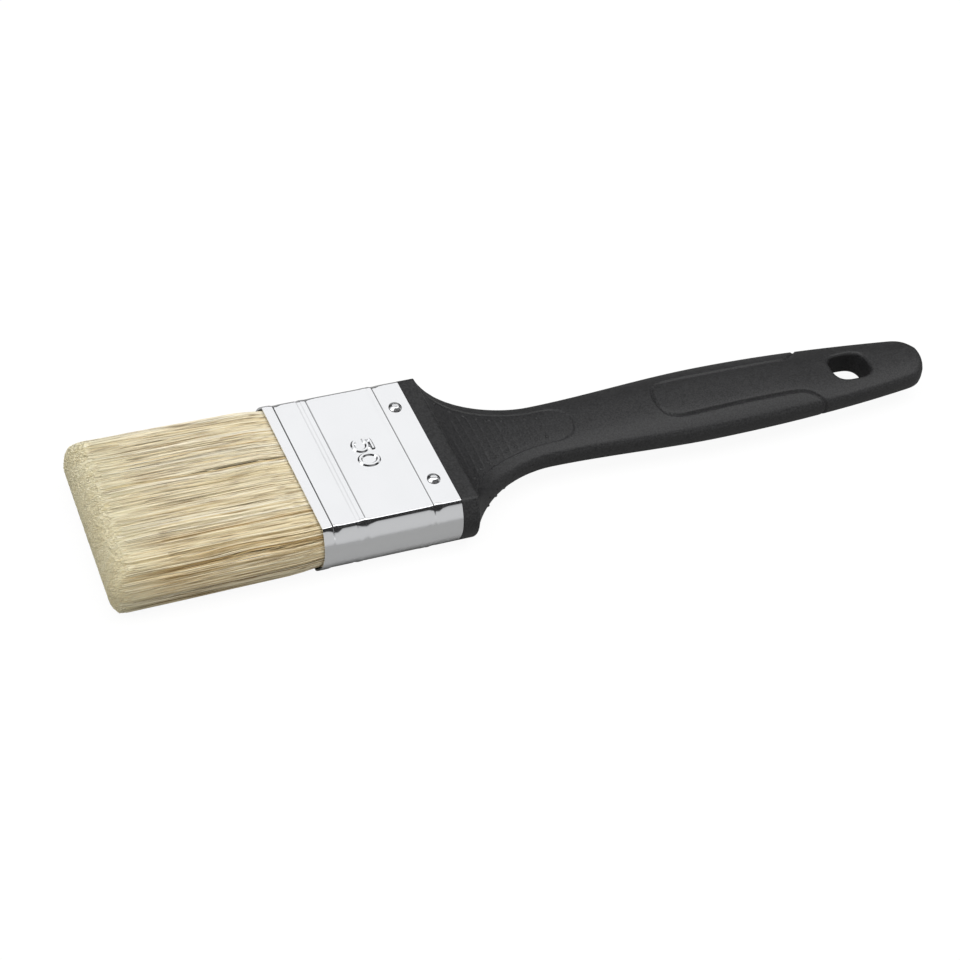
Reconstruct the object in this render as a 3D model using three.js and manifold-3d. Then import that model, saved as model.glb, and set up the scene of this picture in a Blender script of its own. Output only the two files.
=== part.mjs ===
// A flat 50 mm paint brush, lying on its broad face. Millimetres, +Z up.
// X runs along the brush: the bristle tips at -X, the hanging hole at +X. Y is the brush's width.
// While it is built, x = 0 is the ferrule's handle edge and z = 0 is the middle of the thickness.
// At the end the whole brush is moved so that the origin is the middle of the box's underside.

import * as THREE from 'three';
import { mergeVertices } from 'three/addons/utils/BufferGeometryUtils.js';
import Module from 'manifold-3d';

const wasm = await Module();
wasm.setup();

// ---------------------------------------------------------------- driving dimensions

// Clearances.
const FIT_CLEARANCE = 0.3; // round the tang, the resin and the bristle roots, inside the ferrule
const SEAT_GAP = 0.15; // face to face: collar on ferrule, nail head on ferrule, resin on bristles
const NAIL_CLEARANCE = 0.2; // between a nail's shank and its hole, all round

// Ferrule: one band of bright tinned steel, pressed to shape, with three raised beads.
const FERRULE_WIDTH = 50.4; // over the bulged narrow sides: the brush's nominal size
const FERRULE_THICKNESS = 15; // over the two broad faces
const FERRULE_LENGTH = 37.2;
const FERRULE_WALL = 0.4;
const SIDE_BULGE = 3.7; // how far the narrow sides stand out from the corners
const CORNER_ROUND = 0.5; // softening of the four long corners
const BEAD_HEIGHT = 0.45;
const BEAD_SIDE_HEIGHT = 0.25; // a bead is lower where it goes round the narrow side
const BEAD_WIDTH = 2.4;
const MOUTH_BEAD_AT = 3.9; // from the ferrule's mouth to the middle of each bead
const MIDDLE_BEAD_AT = 10.7;
const NAIL_BEAD_FROM_EDGE = 7; // from the handle edge to the middle of the third bead

// The raised size mark, plain numbers, read from the narrow side.
const DIGIT_HEIGHT = 5.3;
const DIGIT_WIDTH = 3.3;
const DIGIT_STROKE = 0.7;
const DIGIT_PITCH = 4.3;
const DIGIT_RELIEF = 0.3;
const MARK_FROM_EDGE = 16.6; // from the handle edge to the middle of the mark

// Nails: two in each broad face, through the ferrule into the tang.
const NAIL_FROM_EDGE = 4.1;
const NAIL_SPACING = 25.8;
const NAIL_HEAD_DIAMETER = 3.4;
const NAIL_HEAD_HEIGHT = 0.8;
const NAIL_SHANK_DIAMETER = 1.6;
const NAIL_SHANK_LENGTH = 5;

// Handle: one black moulding.
const HANDLE_LENGTH = 145.8; // from the ferrule's edge to the end
const TANG_LENGTH = 16; // the part inside the ferrule
const TANG_LEAD_IN = 1.2;
const COLLAR_LENGTH = 4.4; // flush with the ferrule
const FLARE_SHOULDER = 0.85; // how steeply the flare leaves the collar: less is steeper
const FLARE_WIDTH_POWER = 1.9; // how fast the flare's width comes down to the neck's
const FLARE_THICKNESS_POWER = 2.6; // and its thickness
const FLARE_CORNER_POWER = 5; // and the height of its corners
const NECK_AT = 32; // the narrowest place
const NECK_WIDTH = 18.5;
const NECK_THICKNESS = 8.3;
const BELLY_AT = 81; // the widest place of the grip
const BELLY_WIDTH = 22.7;
const BELLY_THICKNESS = 10.8;
const TAIL_AT = 122; // where the grip has thinned down to its flat tail
const TAIL_THICKNESS = 8.2;
const THINNING_LENGTH = 25; // over which it thins down
const END_WIDTH = 13.6; // where the sides would meet the end, before its rounding
const END_ROUND = 6.5; // length of the rounded end
const END_SQUARENESS = 2.4; // of its outline: 2 is an ellipse, more is squarer
const END_THINNING = 0.88; // of the thickness, left at the very end
const TAIL_DROP = 0.5; // the middle of the tail lies this much below the ferrule's
const EDGE_HEIGHT = 5; // height of the grip's narrow sides
const EDGE_BULGE = 0.5;
const EDGE_ROUND = 1.3;
const CROWN_POWER = 2.5; // of the broad faces, across: 2 is a parabola, more is flatter in the middle
const HOLE_FROM_END = 21.9; // from the end to the middle of the hanging hole
const HOLE_LENGTH = 11.2;
const HOLE_WIDTH = 8.8;
const HOLE_SQUARENESS = 3; // 2 is an ellipse, more is squarer
const HOLE_RIM = 1.1; // the rim opens out by this much, over this depth
const HOLE_SIDES = 28;

// Bristles, resin and filler.
const BRISTLE_OUT = 52.6; // visible length, ferrule mouth to tips
const BRISTLE_SWELL = 0.2; // how far the bristles' tips stand proud of the ferrule's thickness
const TIP_ROUND = 6; // the outer bristles of the thickness are this much shorter
const TIP_CORNER = 4.5; // rounding of the tip's two corners, seen from above
const TIP_SKEW = 3; // the tips are this much longer at one side of the brush than at the other
const ROOT_DEPTH = 12; // from the ferrule's mouth back to the face of the bristles' backing
const BACKING_THICKNESS = 4; // the slice of resin that holds the bristle ends
const RESIN_THICKNESS = 2.6; // the resin poured behind it
const FILLER_THICKNESS = 2.4;
const FILLER_WIDTH = 40;
const FILLER_LENGTH = 13; // from the back of the backing towards the mouth
const STRAND_LAYERS = 5; // in each of the two rows
const STRAND_PITCH = 1.26; // across the width
const STRAND_GAP = 0.2;
const STRAND_TURN = 0.08; // the most that a strand is turned about its length, as a slope

// ---------------------------------------------------------------- small helpers

const STEEL = new THREE.MeshStandardMaterial({ color: 0xd4d6d8, roughness: 0.18, metalness: 1 });
const PLASTIC = new THREE.MeshStandardMaterial({ color: 0x2c2c2d, roughness: 0.5, metalness: 0 });
const BRISTLE = new THREE.MeshStandardMaterial({ color: 0xd6c8a0, roughness: 0.7, metalness: 0 });
const RESIN = new THREE.MeshStandardMaterial({ color: 0x8a6a3a, roughness: 0.35, metalness: 0 });
const FILLER = new THREE.MeshStandardMaterial({ color: 0xb79a6b, roughness: 0.8, metalness: 0 });

const clamp01 = (t) => Math.min(1, Math.max(0, t));
const smooth = (t) => clamp01(t) ** 2 * (3 - 2 * clamp01(t));
const mix = (a, b, t) => a + (b - a) * t;
const steps = (from, to, count) => Array.from({ length: count + 1 }, (_, i) => mix(from, to, i / count));

function solidOf(geometry) {
  const bare = new THREE.BufferGeometry();
  bare.setAttribute('position', geometry.getAttribute('position').clone());
  if (geometry.index) bare.setIndex(geometry.index.clone());
  const merged = mergeVertices(bare, 1e-5);
  return new wasm.Manifold(new wasm.Mesh({
    numProp: 3,
    vertProperties: new Float32Array(merged.getAttribute('position').array),
    triVerts: new Uint32Array(merged.index.array),
  }));
}

function geometryOf(solid) {
  const mesh = solid.getMesh();
  const geometry = new THREE.BufferGeometry();
  geometry.setAttribute('position', new THREE.BufferAttribute(new Float32Array(mesh.vertProperties), 3));
  geometry.setIndex(new THREE.BufferAttribute(new Uint32Array(mesh.triVerts), 1));
  return geometry;
}

function box(minX, maxX, minY, maxY, minZ, maxZ) {
  const geometry = new THREE.BoxGeometry(maxX - minX, maxY - minY, maxZ - minZ);
  geometry.translate((minX + maxX) / 2, (minY + maxY) / 2, (minZ + maxZ) / 2);
  return geometry;
}

// A skin through rings of [y, z] points, each at its own x. The ends are closed by fans, or, where
// the rings come back to where they began, the last ring joins the first.
function loft(rings, closesOnItself = false) {
  const count = rings[0].points.length;
  const positions = rings.flatMap(({ x, points }) => points.flatMap(([y, z]) => [x, y, z]));
  const index = [];
  const pairs = closesOnItself ? rings.length : rings.length - 1;
  for (let i = 0; i < pairs; i += 1) {
    const a = i * count;
    const b = ((i + 1) % rings.length) * count;
    for (let j = 0; j < count; j += 1) {
      const k = (j + 1) % count;
      index.push(a + j, b + k, b + j, a + j, a + k, b + k);
    }
  }
  if (!closesOnItself) {
    const last = (rings.length - 1) * count;
    positions.push(rings[0].x, 0, 0, rings[rings.length - 1].x, 0, 0);
    const startCentre = rings.length * count;
    const endCentre = startCentre + 1;
    for (let j = 0; j < count; j += 1) {
      const k = (j + 1) % count;
      index.push(startCentre, k, j, endCentre, last + j, last + k);
    }
  }
  const geometry = new THREE.BufferGeometry();
  geometry.setAttribute('position', new THREE.Float32BufferAttribute(positions, 3));
  geometry.setIndex(index);
  return geometry;
}

// ---------------------------------------------------------------- the section shared by all

// A closed ring in the YZ plane: two broad faces, crowned from edgeHeight at the corners to
// halfThickness in the middle, and two narrow sides that bulge out to halfWidth.
function sectionRing({ halfWidth, halfThickness, edgeHeight, bulge, round }) {
  const cornerY = halfWidth - bulge;
  const side = (z) => [halfWidth - bulge * (z / edgeHeight) ** 2, z];
  const face = (y) => [y, mix(edgeHeight, halfThickness, 1 - (y / cornerY) ** CROWN_POWER)];
  const beforeCorner = side(edgeHeight - Math.min(round, edgeHeight * 0.8));
  const afterCorner = face(cornerY - round);
  const softCorner = [
    (beforeCorner[0] + 2 * cornerY + afterCorner[0]) / 4,
    (beforeCorner[1] + 2 * edgeHeight + afterCorner[1]) / 4,
  ];
  const quarter = [
    side(0),
    ...[0.4, 0.75].map((t) => side(beforeCorner[1] * t)),
    beforeCorner,
    softCorner,
    afterCorner,
    ...[0.75, 0.5, 0.25, 0].map((t) => face(afterCorner[0] * t)),
  ];
  const upper = [...quarter, ...quarter.slice(0, -1).reverse().map(([y, z]) => [-y, z])];
  return [...upper, ...upper.slice(1, -1).reverse().map(([y, z]) => [y, -z])];
}

// The ferrule's own section, moved in or out by an offset from its outer face.
function ferruleSection(offset, sideOffset = offset) {
  const halfThickness = FERRULE_THICKNESS / 2 + offset;
  return {
    halfWidth: FERRULE_WIDTH / 2 + sideOffset,
    halfThickness,
    edgeHeight: halfThickness,
    bulge: SIDE_BULGE + sideOffset - offset,
    round: Math.max(CORNER_ROUND + offset, 0.1),
  };
}

const INSIDE = -(FERRULE_WALL + FIT_CLEARANCE); // offset of whatever sits inside the ferrule

function plugInFerrule(fromX, toX) {
  return loft([fromX, toX].map((x) => ({ x, points: sectionRing(ferruleSection(INSIDE)) })));
}

// ---------------------------------------------------------------- places along the brush

const FERRULE_EDGE = -SEAT_GAP;
const MOUTH = -FERRULE_LENGTH;
const TIPS = MOUTH - BRISTLE_OUT;
const BACKING_FACE = MOUTH + ROOT_DEPTH;
const BACKING_BACK = BACKING_FACE + BACKING_THICKNESS;
const RESIN_FROM = BACKING_BACK + SEAT_GAP;
const FILLER_FROM = BACKING_BACK - FILLER_LENGTH;
const NAIL_X = -NAIL_FROM_EDGE;
const HOLE_X = HANDLE_LENGTH - HOLE_FROM_END;
const FACE_Z = FERRULE_THICKNESS / 2;

// ---------------------------------------------------------------- handle

function flareAt(x) {
  return 1 - clamp01((x - COLLAR_LENGTH) / (NECK_AT - COLLAR_LENGTH)) ** FLARE_SHOULDER;
}

function endRounding(x) {
  const t = clamp01((x - (HANDLE_LENGTH - END_ROUND)) / END_ROUND);
  return (1 - t ** END_SQUARENESS) ** (1 / END_SQUARENESS);
}

function gripHalfWidth(x) {
  if (x <= BELLY_AT) {
    return mix(NECK_WIDTH, BELLY_WIDTH, smooth((x - NECK_AT) / (BELLY_AT - NECK_AT))) / 2;
  }
  const t = (x - BELLY_AT) / (HANDLE_LENGTH - BELLY_AT);
  return mix(BELLY_WIDTH, END_WIDTH, t ** 2) / 2;
}

function gripHalfThickness(x) {
  const toBelly = mix(NECK_THICKNESS, BELLY_THICKNESS, smooth((x - NECK_AT) / (BELLY_AT - NECK_AT)));
  return mix(toBelly, TAIL_THICKNESS, smooth((x - TAIL_AT + THINNING_LENGTH) / THINNING_LENGTH)) / 2;
}

function tailDrop(x) {
  return -TAIL_DROP * smooth((x - BELLY_AT) / (HANDLE_LENGTH - BELLY_AT));
}

function handleRing(x) {
  return { x, points: sectionRing(handleSection(x)).map(([y, z]) => [y, z + tailDrop(x)]) };
}

function handleSection(x) {
  const flare = flareAt(x);
  const rounding = endRounding(x);
  const halfThickness = mix(gripHalfThickness(x), FACE_Z, flare ** FLARE_THICKNESS_POWER);
  const edgeHeight = mix(EDGE_HEIGHT / 2, FACE_Z, flare ** FLARE_CORNER_POWER);
  const thin = mix(END_THINNING, 1, rounding);
  return {
    halfWidth: mix(gripHalfWidth(x), FERRULE_WIDTH / 2, flare ** FLARE_WIDTH_POWER) * rounding,
    halfThickness: halfThickness * thin,
    edgeHeight: edgeHeight * thin,
    bulge: mix(EDGE_BULGE, SIDE_BULGE, flare ** FLARE_THICKNESS_POWER) * rounding,
    round: mix(EDGE_ROUND, CORNER_ROUND, flare ** FLARE_CORNER_POWER) * thin * Math.max(rounding, 0.2),
  };
}

function hangingHole() {
  const reach = BELLY_THICKNESS;
  const rimZ = gripHalfThickness(HOLE_X) - HOLE_RIM;
  const outline = (grow) => {
    const reachOf = (c) => Math.sign(c) * Math.abs(c) ** (2 / HOLE_SQUARENESS);
    return steps(0, 2 * Math.PI, HOLE_SIDES).slice(0, -1).map((a) => [
      (HOLE_LENGTH / 2 + grow) * reachOf(Math.cos(a)),
      (HOLE_WIDTH / 2 + grow) * reachOf(Math.sin(a)),
    ]);
  };
  const levels = [
    [-reach, HOLE_RIM * 3],
    [-rimZ - HOLE_RIM * 0.6, HOLE_RIM],
    [-rimZ, HOLE_RIM * 0.3],
    [-rimZ + HOLE_RIM, 0],
    [rimZ - HOLE_RIM, 0],
    [rimZ, HOLE_RIM * 0.3],
    [rimZ + HOLE_RIM * 0.6, HOLE_RIM],
    [reach, HOLE_RIM * 3],
  ];
  const cutter = loft(levels.map(([z, grow]) => ({ x: z + tailDrop(HOLE_X), points: outline(grow) })));
  // The loft runs along x: turn it upright, so that its own [y, z] become the brush's x and y.
  cutter.applyMatrix4(new THREE.Matrix4().set(0, 1, 0, HOLE_X, 0, 0, 1, 0, 1, 0, 0, 0, 0, 0, 0, 1));
  return cutter;
}

function makeHandle() {
  const tang = ferruleSection(INSIDE);
  const tangTip = ferruleSection(INSIDE - TANG_LEAD_IN / 2);
  const places = [
    ...steps(0, COLLAR_LENGTH, 1),
    ...steps(COLLAR_LENGTH, NECK_AT, 13).slice(1),
    ...steps(NECK_AT, HANDLE_LENGTH - END_ROUND, 18).slice(1),
    ...[0.3, 0.55, 0.75, 0.9, 0.98].map((t) => HANDLE_LENGTH - END_ROUND * (1 - t)),
  ];
  const body = loft([
    { x: -TANG_LENGTH, points: sectionRing(tangTip) },
    { x: -TANG_LENGTH + TANG_LEAD_IN, points: sectionRing(tang) },
    { x: 0, points: sectionRing(tang) },
    ...places.map(handleRing),
  ]);
  let solid = solidOf(body).subtract(solidOf(hangingHole()));
  const bore = NAIL_SHANK_DIAMETER / 2 + NAIL_CLEARANCE;
  for (const { y, up } of NAIL_PLACES) {
    const depth = NAIL_SHANK_LENGTH + FIT_CLEARANCE;
    solid = solid.subtract(solidOf(standing(bore, depth, 12, y, up * (FACE_Z - depth / 2 + SEAT_GAP))));
  }
  return geometryOf(solid);
}

// ---------------------------------------------------------------- nails

const NAIL_PLACES = [
  { name: 'nail_upper_left', y: NAIL_SPACING / 2, up: 1 },
  { name: 'nail_upper_right', y: -NAIL_SPACING / 2, up: 1 },
  { name: 'nail_lower_left', y: NAIL_SPACING / 2, up: -1 },
  { name: 'nail_lower_right', y: -NAIL_SPACING / 2, up: -1 },
];

// An upright cylinder at a nail's place.
function standing(radius, length, sides, y, z) {
  const geometry = new THREE.CylinderGeometry(radius, radius, length, sides);
  geometry.rotateX(Math.PI / 2);
  geometry.translate(NAIL_X, y, z);
  return geometry;
}

function makeNail({ y, up }) {
  const shank = NAIL_SHANK_DIAMETER / 2;
  const head = NAIL_HEAD_DIAMETER / 2;
  const seat = FACE_Z + SEAT_GAP;
  const dome = steps(0, Math.PI / 2, 4).map((a) => [head * Math.cos(a), NAIL_HEAD_HEIGHT * Math.sin(a)]);
  const profile = [
    new THREE.Vector2(0, seat - NAIL_SHANK_LENGTH),
    new THREE.Vector2(shank * 0.4, seat - NAIL_SHANK_LENGTH),
    new THREE.Vector2(shank, seat - NAIL_SHANK_LENGTH + shank),
    new THREE.Vector2(shank, seat),
    ...dome.slice(0, -1).map(([r, h]) => new THREE.Vector2(r, seat + h)),
    new THREE.Vector2(0, seat + NAIL_HEAD_HEIGHT),
  ];
  const geometry = new THREE.LatheGeometry(profile, 16);
  geometry.rotateX(up * (Math.PI / 2));
  geometry.translate(NAIL_X, y, 0);
  return geometryOf(solidOf(geometry));
}

// ---------------------------------------------------------------- ferrule

function beadRise(x) {
  const middles = [MOUTH + MOUTH_BEAD_AT, MOUTH + MIDDLE_BEAD_AT, -NAIL_BEAD_FROM_EDGE];
  const nearest = Math.min(...middles.map((middle) => Math.abs(x - middle)));
  return smooth(1 - nearest / (BEAD_WIDTH / 2));
}

function ferrulePlaces() {
  const middles = [MOUTH + MOUTH_BEAD_AT, MOUTH + MIDDLE_BEAD_AT, -NAIL_BEAD_FROM_EDGE];
  const shoulders = middles.flatMap((middle) => (
    [-1, -0.5, 0, 0.5, 1].map((t) => middle + t * BEAD_WIDTH / 2)));
  return [MOUTH, ...shoulders, FERRULE_EDGE];
}

function sizeMark() {
  const outer = { w: DIGIT_WIDTH / 2, h: DIGIT_HEIGHT / 2 };
  const inner = { w: outer.w - DIGIT_STROKE, h: outer.h - DIGIT_STROKE };
  const zero = new THREE.Shape().absellipse(0, 0, outer.w, outer.h, 0, 2 * Math.PI);
  zero.holes.push(new THREE.Path().absellipse(0, 0, inner.w, inner.h, 0, 2 * Math.PI));
  // The five: a top bar, a short upright and an open bowl.
  const bowl = { y: -outer.h + outer.w, r: outer.w };
  const five = new THREE.Shape();
  five.moveTo(-outer.w + 0.2, outer.h);
  five.lineTo(outer.w - 0.2, outer.h);
  five.lineTo(outer.w - 0.2, inner.h);
  five.lineTo(-outer.w + 0.2 + DIGIT_STROKE, inner.h);
  five.lineTo(-outer.w + 0.2 + DIGIT_STROKE, bowl.y + bowl.r * 0.85);
  five.absarc(0, bowl.y, bowl.r, Math.PI * 0.6, -Math.PI * 0.8, true);
  five.absarc(0, bowl.y, bowl.r - DIGIT_STROKE, -Math.PI * 0.8, Math.PI * 0.75, false);
  five.lineTo(-outer.w + 0.2, bowl.y + bowl.r * 0.55);
  const settings = { depth: DIGIT_RELIEF * 2, bevelEnabled: false, curveSegments: 9 };
  return [five, zero].map((shape, place) => {
    const digit = new THREE.ExtrudeGeometry(shape, settings);
    digit.translate(DIGIT_PITCH * (place - 0.5), 0, FACE_Z - DIGIT_RELIEF);
    digit.rotateZ(-Math.PI / 2);
    digit.translate(-MARK_FROM_EDGE, 0, 0);
    return digit;
  });
}

function makeFerrule() {
  const ring = (x, offset) => {
    const rise = beadRise(x);
    const section = ferruleSection(offset + BEAD_HEIGHT * rise, offset + BEAD_SIDE_HEIGHT * rise);
    return { x, points: sectionRing(section) };
  };
  const outside = ferrulePlaces().map((x) => ring(x, 0));
  const inside = ferrulePlaces().reverse().map((x) => ring(x, -FERRULE_WALL));
  let solid = solidOf(loft([...outside, ...inside], true));
  for (const digit of sizeMark()) solid = solid.add(solidOf(digit));
  const bore = NAIL_SHANK_DIAMETER / 2 + NAIL_CLEARANCE;
  for (const { y, up } of NAIL_PLACES) {
    solid = solid.subtract(solidOf(standing(bore, FERRULE_WALL * 6, 12, y, up * FACE_Z)));
  }
  return geometryOf(solid);
}

// ---------------------------------------------------------------- resin, filler and bristles

function makeFiller() {
  const half = { y: FILLER_WIDTH / 2, z: FILLER_THICKNESS / 2 };
  return box(FILLER_FROM, BACKING_BACK, -half.y, half.y, -half.z, half.z);
}

// The bristle field: across in -1..1 over the width, up in 0..1 over half the thickness. Every
// strand is a straight line between the same place of the field at the root and at the tip.
function fieldPoint(across, up, atTip) {
  const swell = atTip ? BRISTLE_SWELL : INSIDE - STRAND_GAP;
  const section = ferruleSection(swell, atTip ? 0 : swell);
  const inset = STRAND_PITCH / 2;
  const lowest = atTip ? STRAND_GAP / 2 : FILLER_THICKNESS / 2 + STRAND_GAP;
  const z = mix(lowest + rowPitch(atTip) / 2, section.halfThickness - rowPitch(atTip) / 2, up);
  const halfWidth = section.halfWidth - section.bulge * (z / section.edgeHeight) ** 2 - inset;
  return { y: across * halfWidth, z };
}

function rowPitch(atTip) {
  const halfThickness = FACE_Z + (atTip ? BRISTLE_SWELL : INSIDE - STRAND_GAP);
  const lowest = atTip ? STRAND_GAP / 2 : FILLER_THICKNESS / 2 + STRAND_GAP;
  return (halfThickness - lowest) / STRAND_LAYERS;
}

function tipPlace({ y, z }, side) {
  const halfThickness = FACE_Z + BRISTLE_SWELL;
  const shorter = TIP_ROUND * (1 - Math.sqrt(1 - Math.min(1, z / halfThickness) ** 2));
  const intoCorner = clamp01((Math.abs(y) - FERRULE_WIDTH / 2 + TIP_CORNER) / TIP_CORNER);
  const skew = side * TIP_SKEW * (y / FERRULE_WIDTH);
  return TIPS + shorter + skew + TIP_CORNER * (1 - Math.sqrt(1 - intoCorner ** 2));
}

// One strand of four sides: its four corners on the backing's face and the four at its tip. Each
// is turned a little, by an amount of its own, so that no two lie square to each other.
function strand(across, up, columns, turn, side) {
  const corners = (atTip) => {
    const { y, z } = fieldPoint(across, up, atTip);
    const width = 2 * fieldPoint(1, up, atTip).y / (columns - 1) - STRAND_GAP;
    const height = rowPitch(atTip) - STRAND_GAP;
    const x = atTip ? tipPlace({ y, z }, side) : BACKING_FACE;
    return [[1, 1], [-1, 1], [-1, -1], [1, -1]].map(([sy, sz]) => (
      [x, y + (sy * width - sz * height * turn) / 2, z + (sz * height + sy * width * turn) / 2]));
  };
  return { root: corners(false), tip: corners(true) };
}

function rowOfStrands(side) {
  const strands = [];
  for (let layer = 0; layer < STRAND_LAYERS; layer += 1) {
    const up = layer / (STRAND_LAYERS - 1);
    const columns = Math.round(2 * fieldPoint(1, up, false).y / STRAND_PITCH) + 1;
    for (let column = 0; column < columns; column += 1) {
      const turn = STRAND_TURN * Math.sin(7 * column + 3 * layer);
      strands.push(strand(2 * column / (columns - 1) - 1, up, columns, turn, side));
    }
  }
  return strands;
}

// The upper half of the backing, seen along the brush, with the filler's slot left open.
function backingOutline() {
  const section = ferruleSection(INSIDE);
  const lowest = SEAT_GAP / 2;
  const slot = { y: FILLER_WIDTH / 2 + SEAT_GAP, z: FILLER_THICKNESS / 2 + SEAT_GAP };
  const sideY = section.halfWidth - section.bulge * (lowest / section.edgeHeight) ** 2;
  const over = sectionRing(section).filter(([y, z]) => (
    z > lowest && (z < section.edgeHeight || Math.abs(y) > section.halfWidth - section.bulge - 1)));
  return [
    [sideY, lowest], ...over, [-sideY, lowest],
    [-slot.y, lowest], [-slot.y, slot.z], [slot.y, slot.z], [slot.y, lowest],
  ];
}

// The strands grow straight out of the backing's face, so each root is a hole in that face.
function makeBristleRow(side) {
  const strands = rowOfStrands(side);
  const outline = backingOutline();
  const positions = [];
  const index = [];
  const add = (points) => points.map((point) => positions.push(...point) / 3 - 1);
  const strip = (from, to) => from.forEach((a, j) => {
    const next = (j + 1) % from.length;
    index.push(a, to[j], from[next], from[next], to[j], to[next]);
  });
  const flat = (corners, holes, turned) => {
    const to2d = (loop) => loop.map((i) => new THREE.Vector2(positions[3 * i + 1], positions[3 * i + 2]));
    const order = [corners, ...holes].flat();
    for (const [a, b, c] of THREE.ShapeUtils.triangulateShape(to2d(corners), holes.map(to2d))) {
      index.push(...(turned ? [a, c, b] : [a, b, c]).map((i) => order[i]));
    }
  };
  const back = add(outline.map(([y, z]) => [BACKING_BACK, y, z]));
  const front = add(outline.map(([y, z]) => [BACKING_FACE, y, z]));
  const roots = strands.map(({ root }) => add(root));
  const tips = strands.map(({ tip }) => add(tip));
  flat(back, [], false);
  strip(back, front);
  flat(front, roots.map((root) => [...root].reverse()), true);
  roots.forEach((root, i) => strip(root, tips[i]));
  tips.forEach((tip) => flat(tip, [], true));
  const row = new THREE.BufferGeometry();
  row.setAttribute('position', new THREE.Float32BufferAttribute(positions, 3));
  row.setIndex(index);
  if (side < 0) row.rotateX(Math.PI);
  return row;
}

// ---------------------------------------------------------------- assembly

const brush = new THREE.Group();

function addPart(name, geometry, material) {
  const mesh = new THREE.Mesh(geometry, material);
  mesh.name = name;
  brush.add(mesh);
}

addPart('handle', makeHandle(), PLASTIC);
addPart('ferrule', makeFerrule(), STEEL);
for (const place of NAIL_PLACES) addPart(place.name, makeNail(place), STEEL);
addPart('resin_set', plugInFerrule(RESIN_FROM, RESIN_FROM + RESIN_THICKNESS), RESIN);
addPart('filler_strip', makeFiller(), FILLER);
addPart('bristle_row_upper', makeBristleRow(1), BRISTLE);
addPart('bristle_row_lower', makeBristleRow(-1), BRISTLE);

// The origin goes to the middle of the underside.
const bounds = new THREE.Box3().setFromObject(brush);
brush.position.set(-(bounds.min.x + bounds.max.x) / 2, -(bounds.min.y + bounds.max.y) / 2, -bounds.min.z);

export default brush;
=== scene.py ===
"""The looks of a flat paint brush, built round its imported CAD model.

The brush is modelled in millimetres in its own build frame: x runs from the bristle tips (minus) to
the hanging hole (plus) and is zero at the ferrule's handle edge, y runs across the brush, and z is
zero half way through its thickness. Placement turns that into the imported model's frame, in metres.
"""

import logging
import math
import random
from abc import ABC, abstractmethod
from dataclasses import dataclass
from enum import Enum
from typing import Callable, Iterable

import bmesh
import bpy
from bmesh.types import BMEdge, BMesh, BMVert
from bpy.types import ID, Material, Node, NodeSocket, NodeTree, Object
from mathutils import Matrix, Vector, noise


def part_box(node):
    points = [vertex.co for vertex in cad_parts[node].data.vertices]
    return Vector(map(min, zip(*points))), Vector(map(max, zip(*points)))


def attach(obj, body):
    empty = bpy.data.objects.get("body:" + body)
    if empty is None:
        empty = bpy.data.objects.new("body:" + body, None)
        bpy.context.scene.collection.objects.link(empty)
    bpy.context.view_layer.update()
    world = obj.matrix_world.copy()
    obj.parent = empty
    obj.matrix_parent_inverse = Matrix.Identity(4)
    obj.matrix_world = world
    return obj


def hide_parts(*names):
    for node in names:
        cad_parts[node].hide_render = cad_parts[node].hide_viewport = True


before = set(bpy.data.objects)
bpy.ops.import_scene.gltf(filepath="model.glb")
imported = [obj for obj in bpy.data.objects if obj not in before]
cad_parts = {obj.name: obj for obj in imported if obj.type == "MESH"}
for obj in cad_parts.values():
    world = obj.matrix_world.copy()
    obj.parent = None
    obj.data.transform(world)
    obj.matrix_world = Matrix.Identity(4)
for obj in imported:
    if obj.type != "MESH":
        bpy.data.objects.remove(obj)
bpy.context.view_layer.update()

LOG = logging.getLogger("brush")
MM = 0.001
SHARP_ANGLE = math.radians(42)
FOLD_REACH = 0.3
COLLAR_ROUND = 0.5
LEAST_ROUND = 0.1

Point = tuple[float, float]


# ---------------------------------------------------------------- small sums


def clamp01(value: float) -> float:
    """The value held between 0 and 1."""
    return min(1.0, max(0.0, value))


def mix(start: float, end: float, share: float) -> float:
    """The value that lies a share of the way from start to end."""
    return start + (end - start) * share


def smooth(value: float) -> float:
    """An ease from 0 to 1 that starts and ends level."""
    held = clamp01(value)
    return held * held * (3 - 2 * held)


def ramp(x: float, start: float, end: float) -> float:
    """How far x has come from start to end, eased, 0 before and 1 after."""
    return smooth((x - start) / (end - start))


def steps(start: float, end: float, count: int) -> list[float]:
    """Places from start to end, both included, in a number of equal steps."""
    return [mix(start, end, i / count) for i in range(count + 1)]


def dip(distance: float, half_width: float) -> float:
    """A soft valley's depth, 1 at its middle line and 0 from half_width outwards."""
    return smooth(1 - abs(distance) / half_width)


def slope(curve: Callable[[float], float], x: float, reach: float) -> float:
    """How steeply a curve rises round x, between two places a reach away from it."""
    return (curve(x + reach) - curve(x - reach)) / (2 * reach)


def squared(value: float, power: float) -> float:
    """A sine or cosine pushed outwards, so that a circle drawn with it turns into a squared oval."""
    return math.copysign(abs(value) ** power, value)


def inside_oval(place: Point, half: Point, squareness: float) -> float:
    """How far a place lies inside a squared oval round zero, below 0 outside it.

    Args:
        place: the place, with both numbers positive.
        half: half the oval's length and half its width.
        squareness: 2 for an ellipse, more for squarer corners.

    Returns:
        The distance along the line from the middle.
    """
    share = sum((at / reach) ** squareness for at, reach in zip(place, half)) ** (1 / squareness)
    from_middle = math.hypot(*place)
    return from_middle / max(share, 1e-6) - from_middle


def bend(start: Point, tip: Point, end: Point, count: int) -> list[Point]:
    """A curve from start to end that a tip pulls outwards, in a number of steps."""
    return [
        tuple(mix(mix(a, b, t), mix(b, c, t), t) for a, b, c in zip(start, tip, end))
        for t in steps(0, 1, count)
    ]


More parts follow.
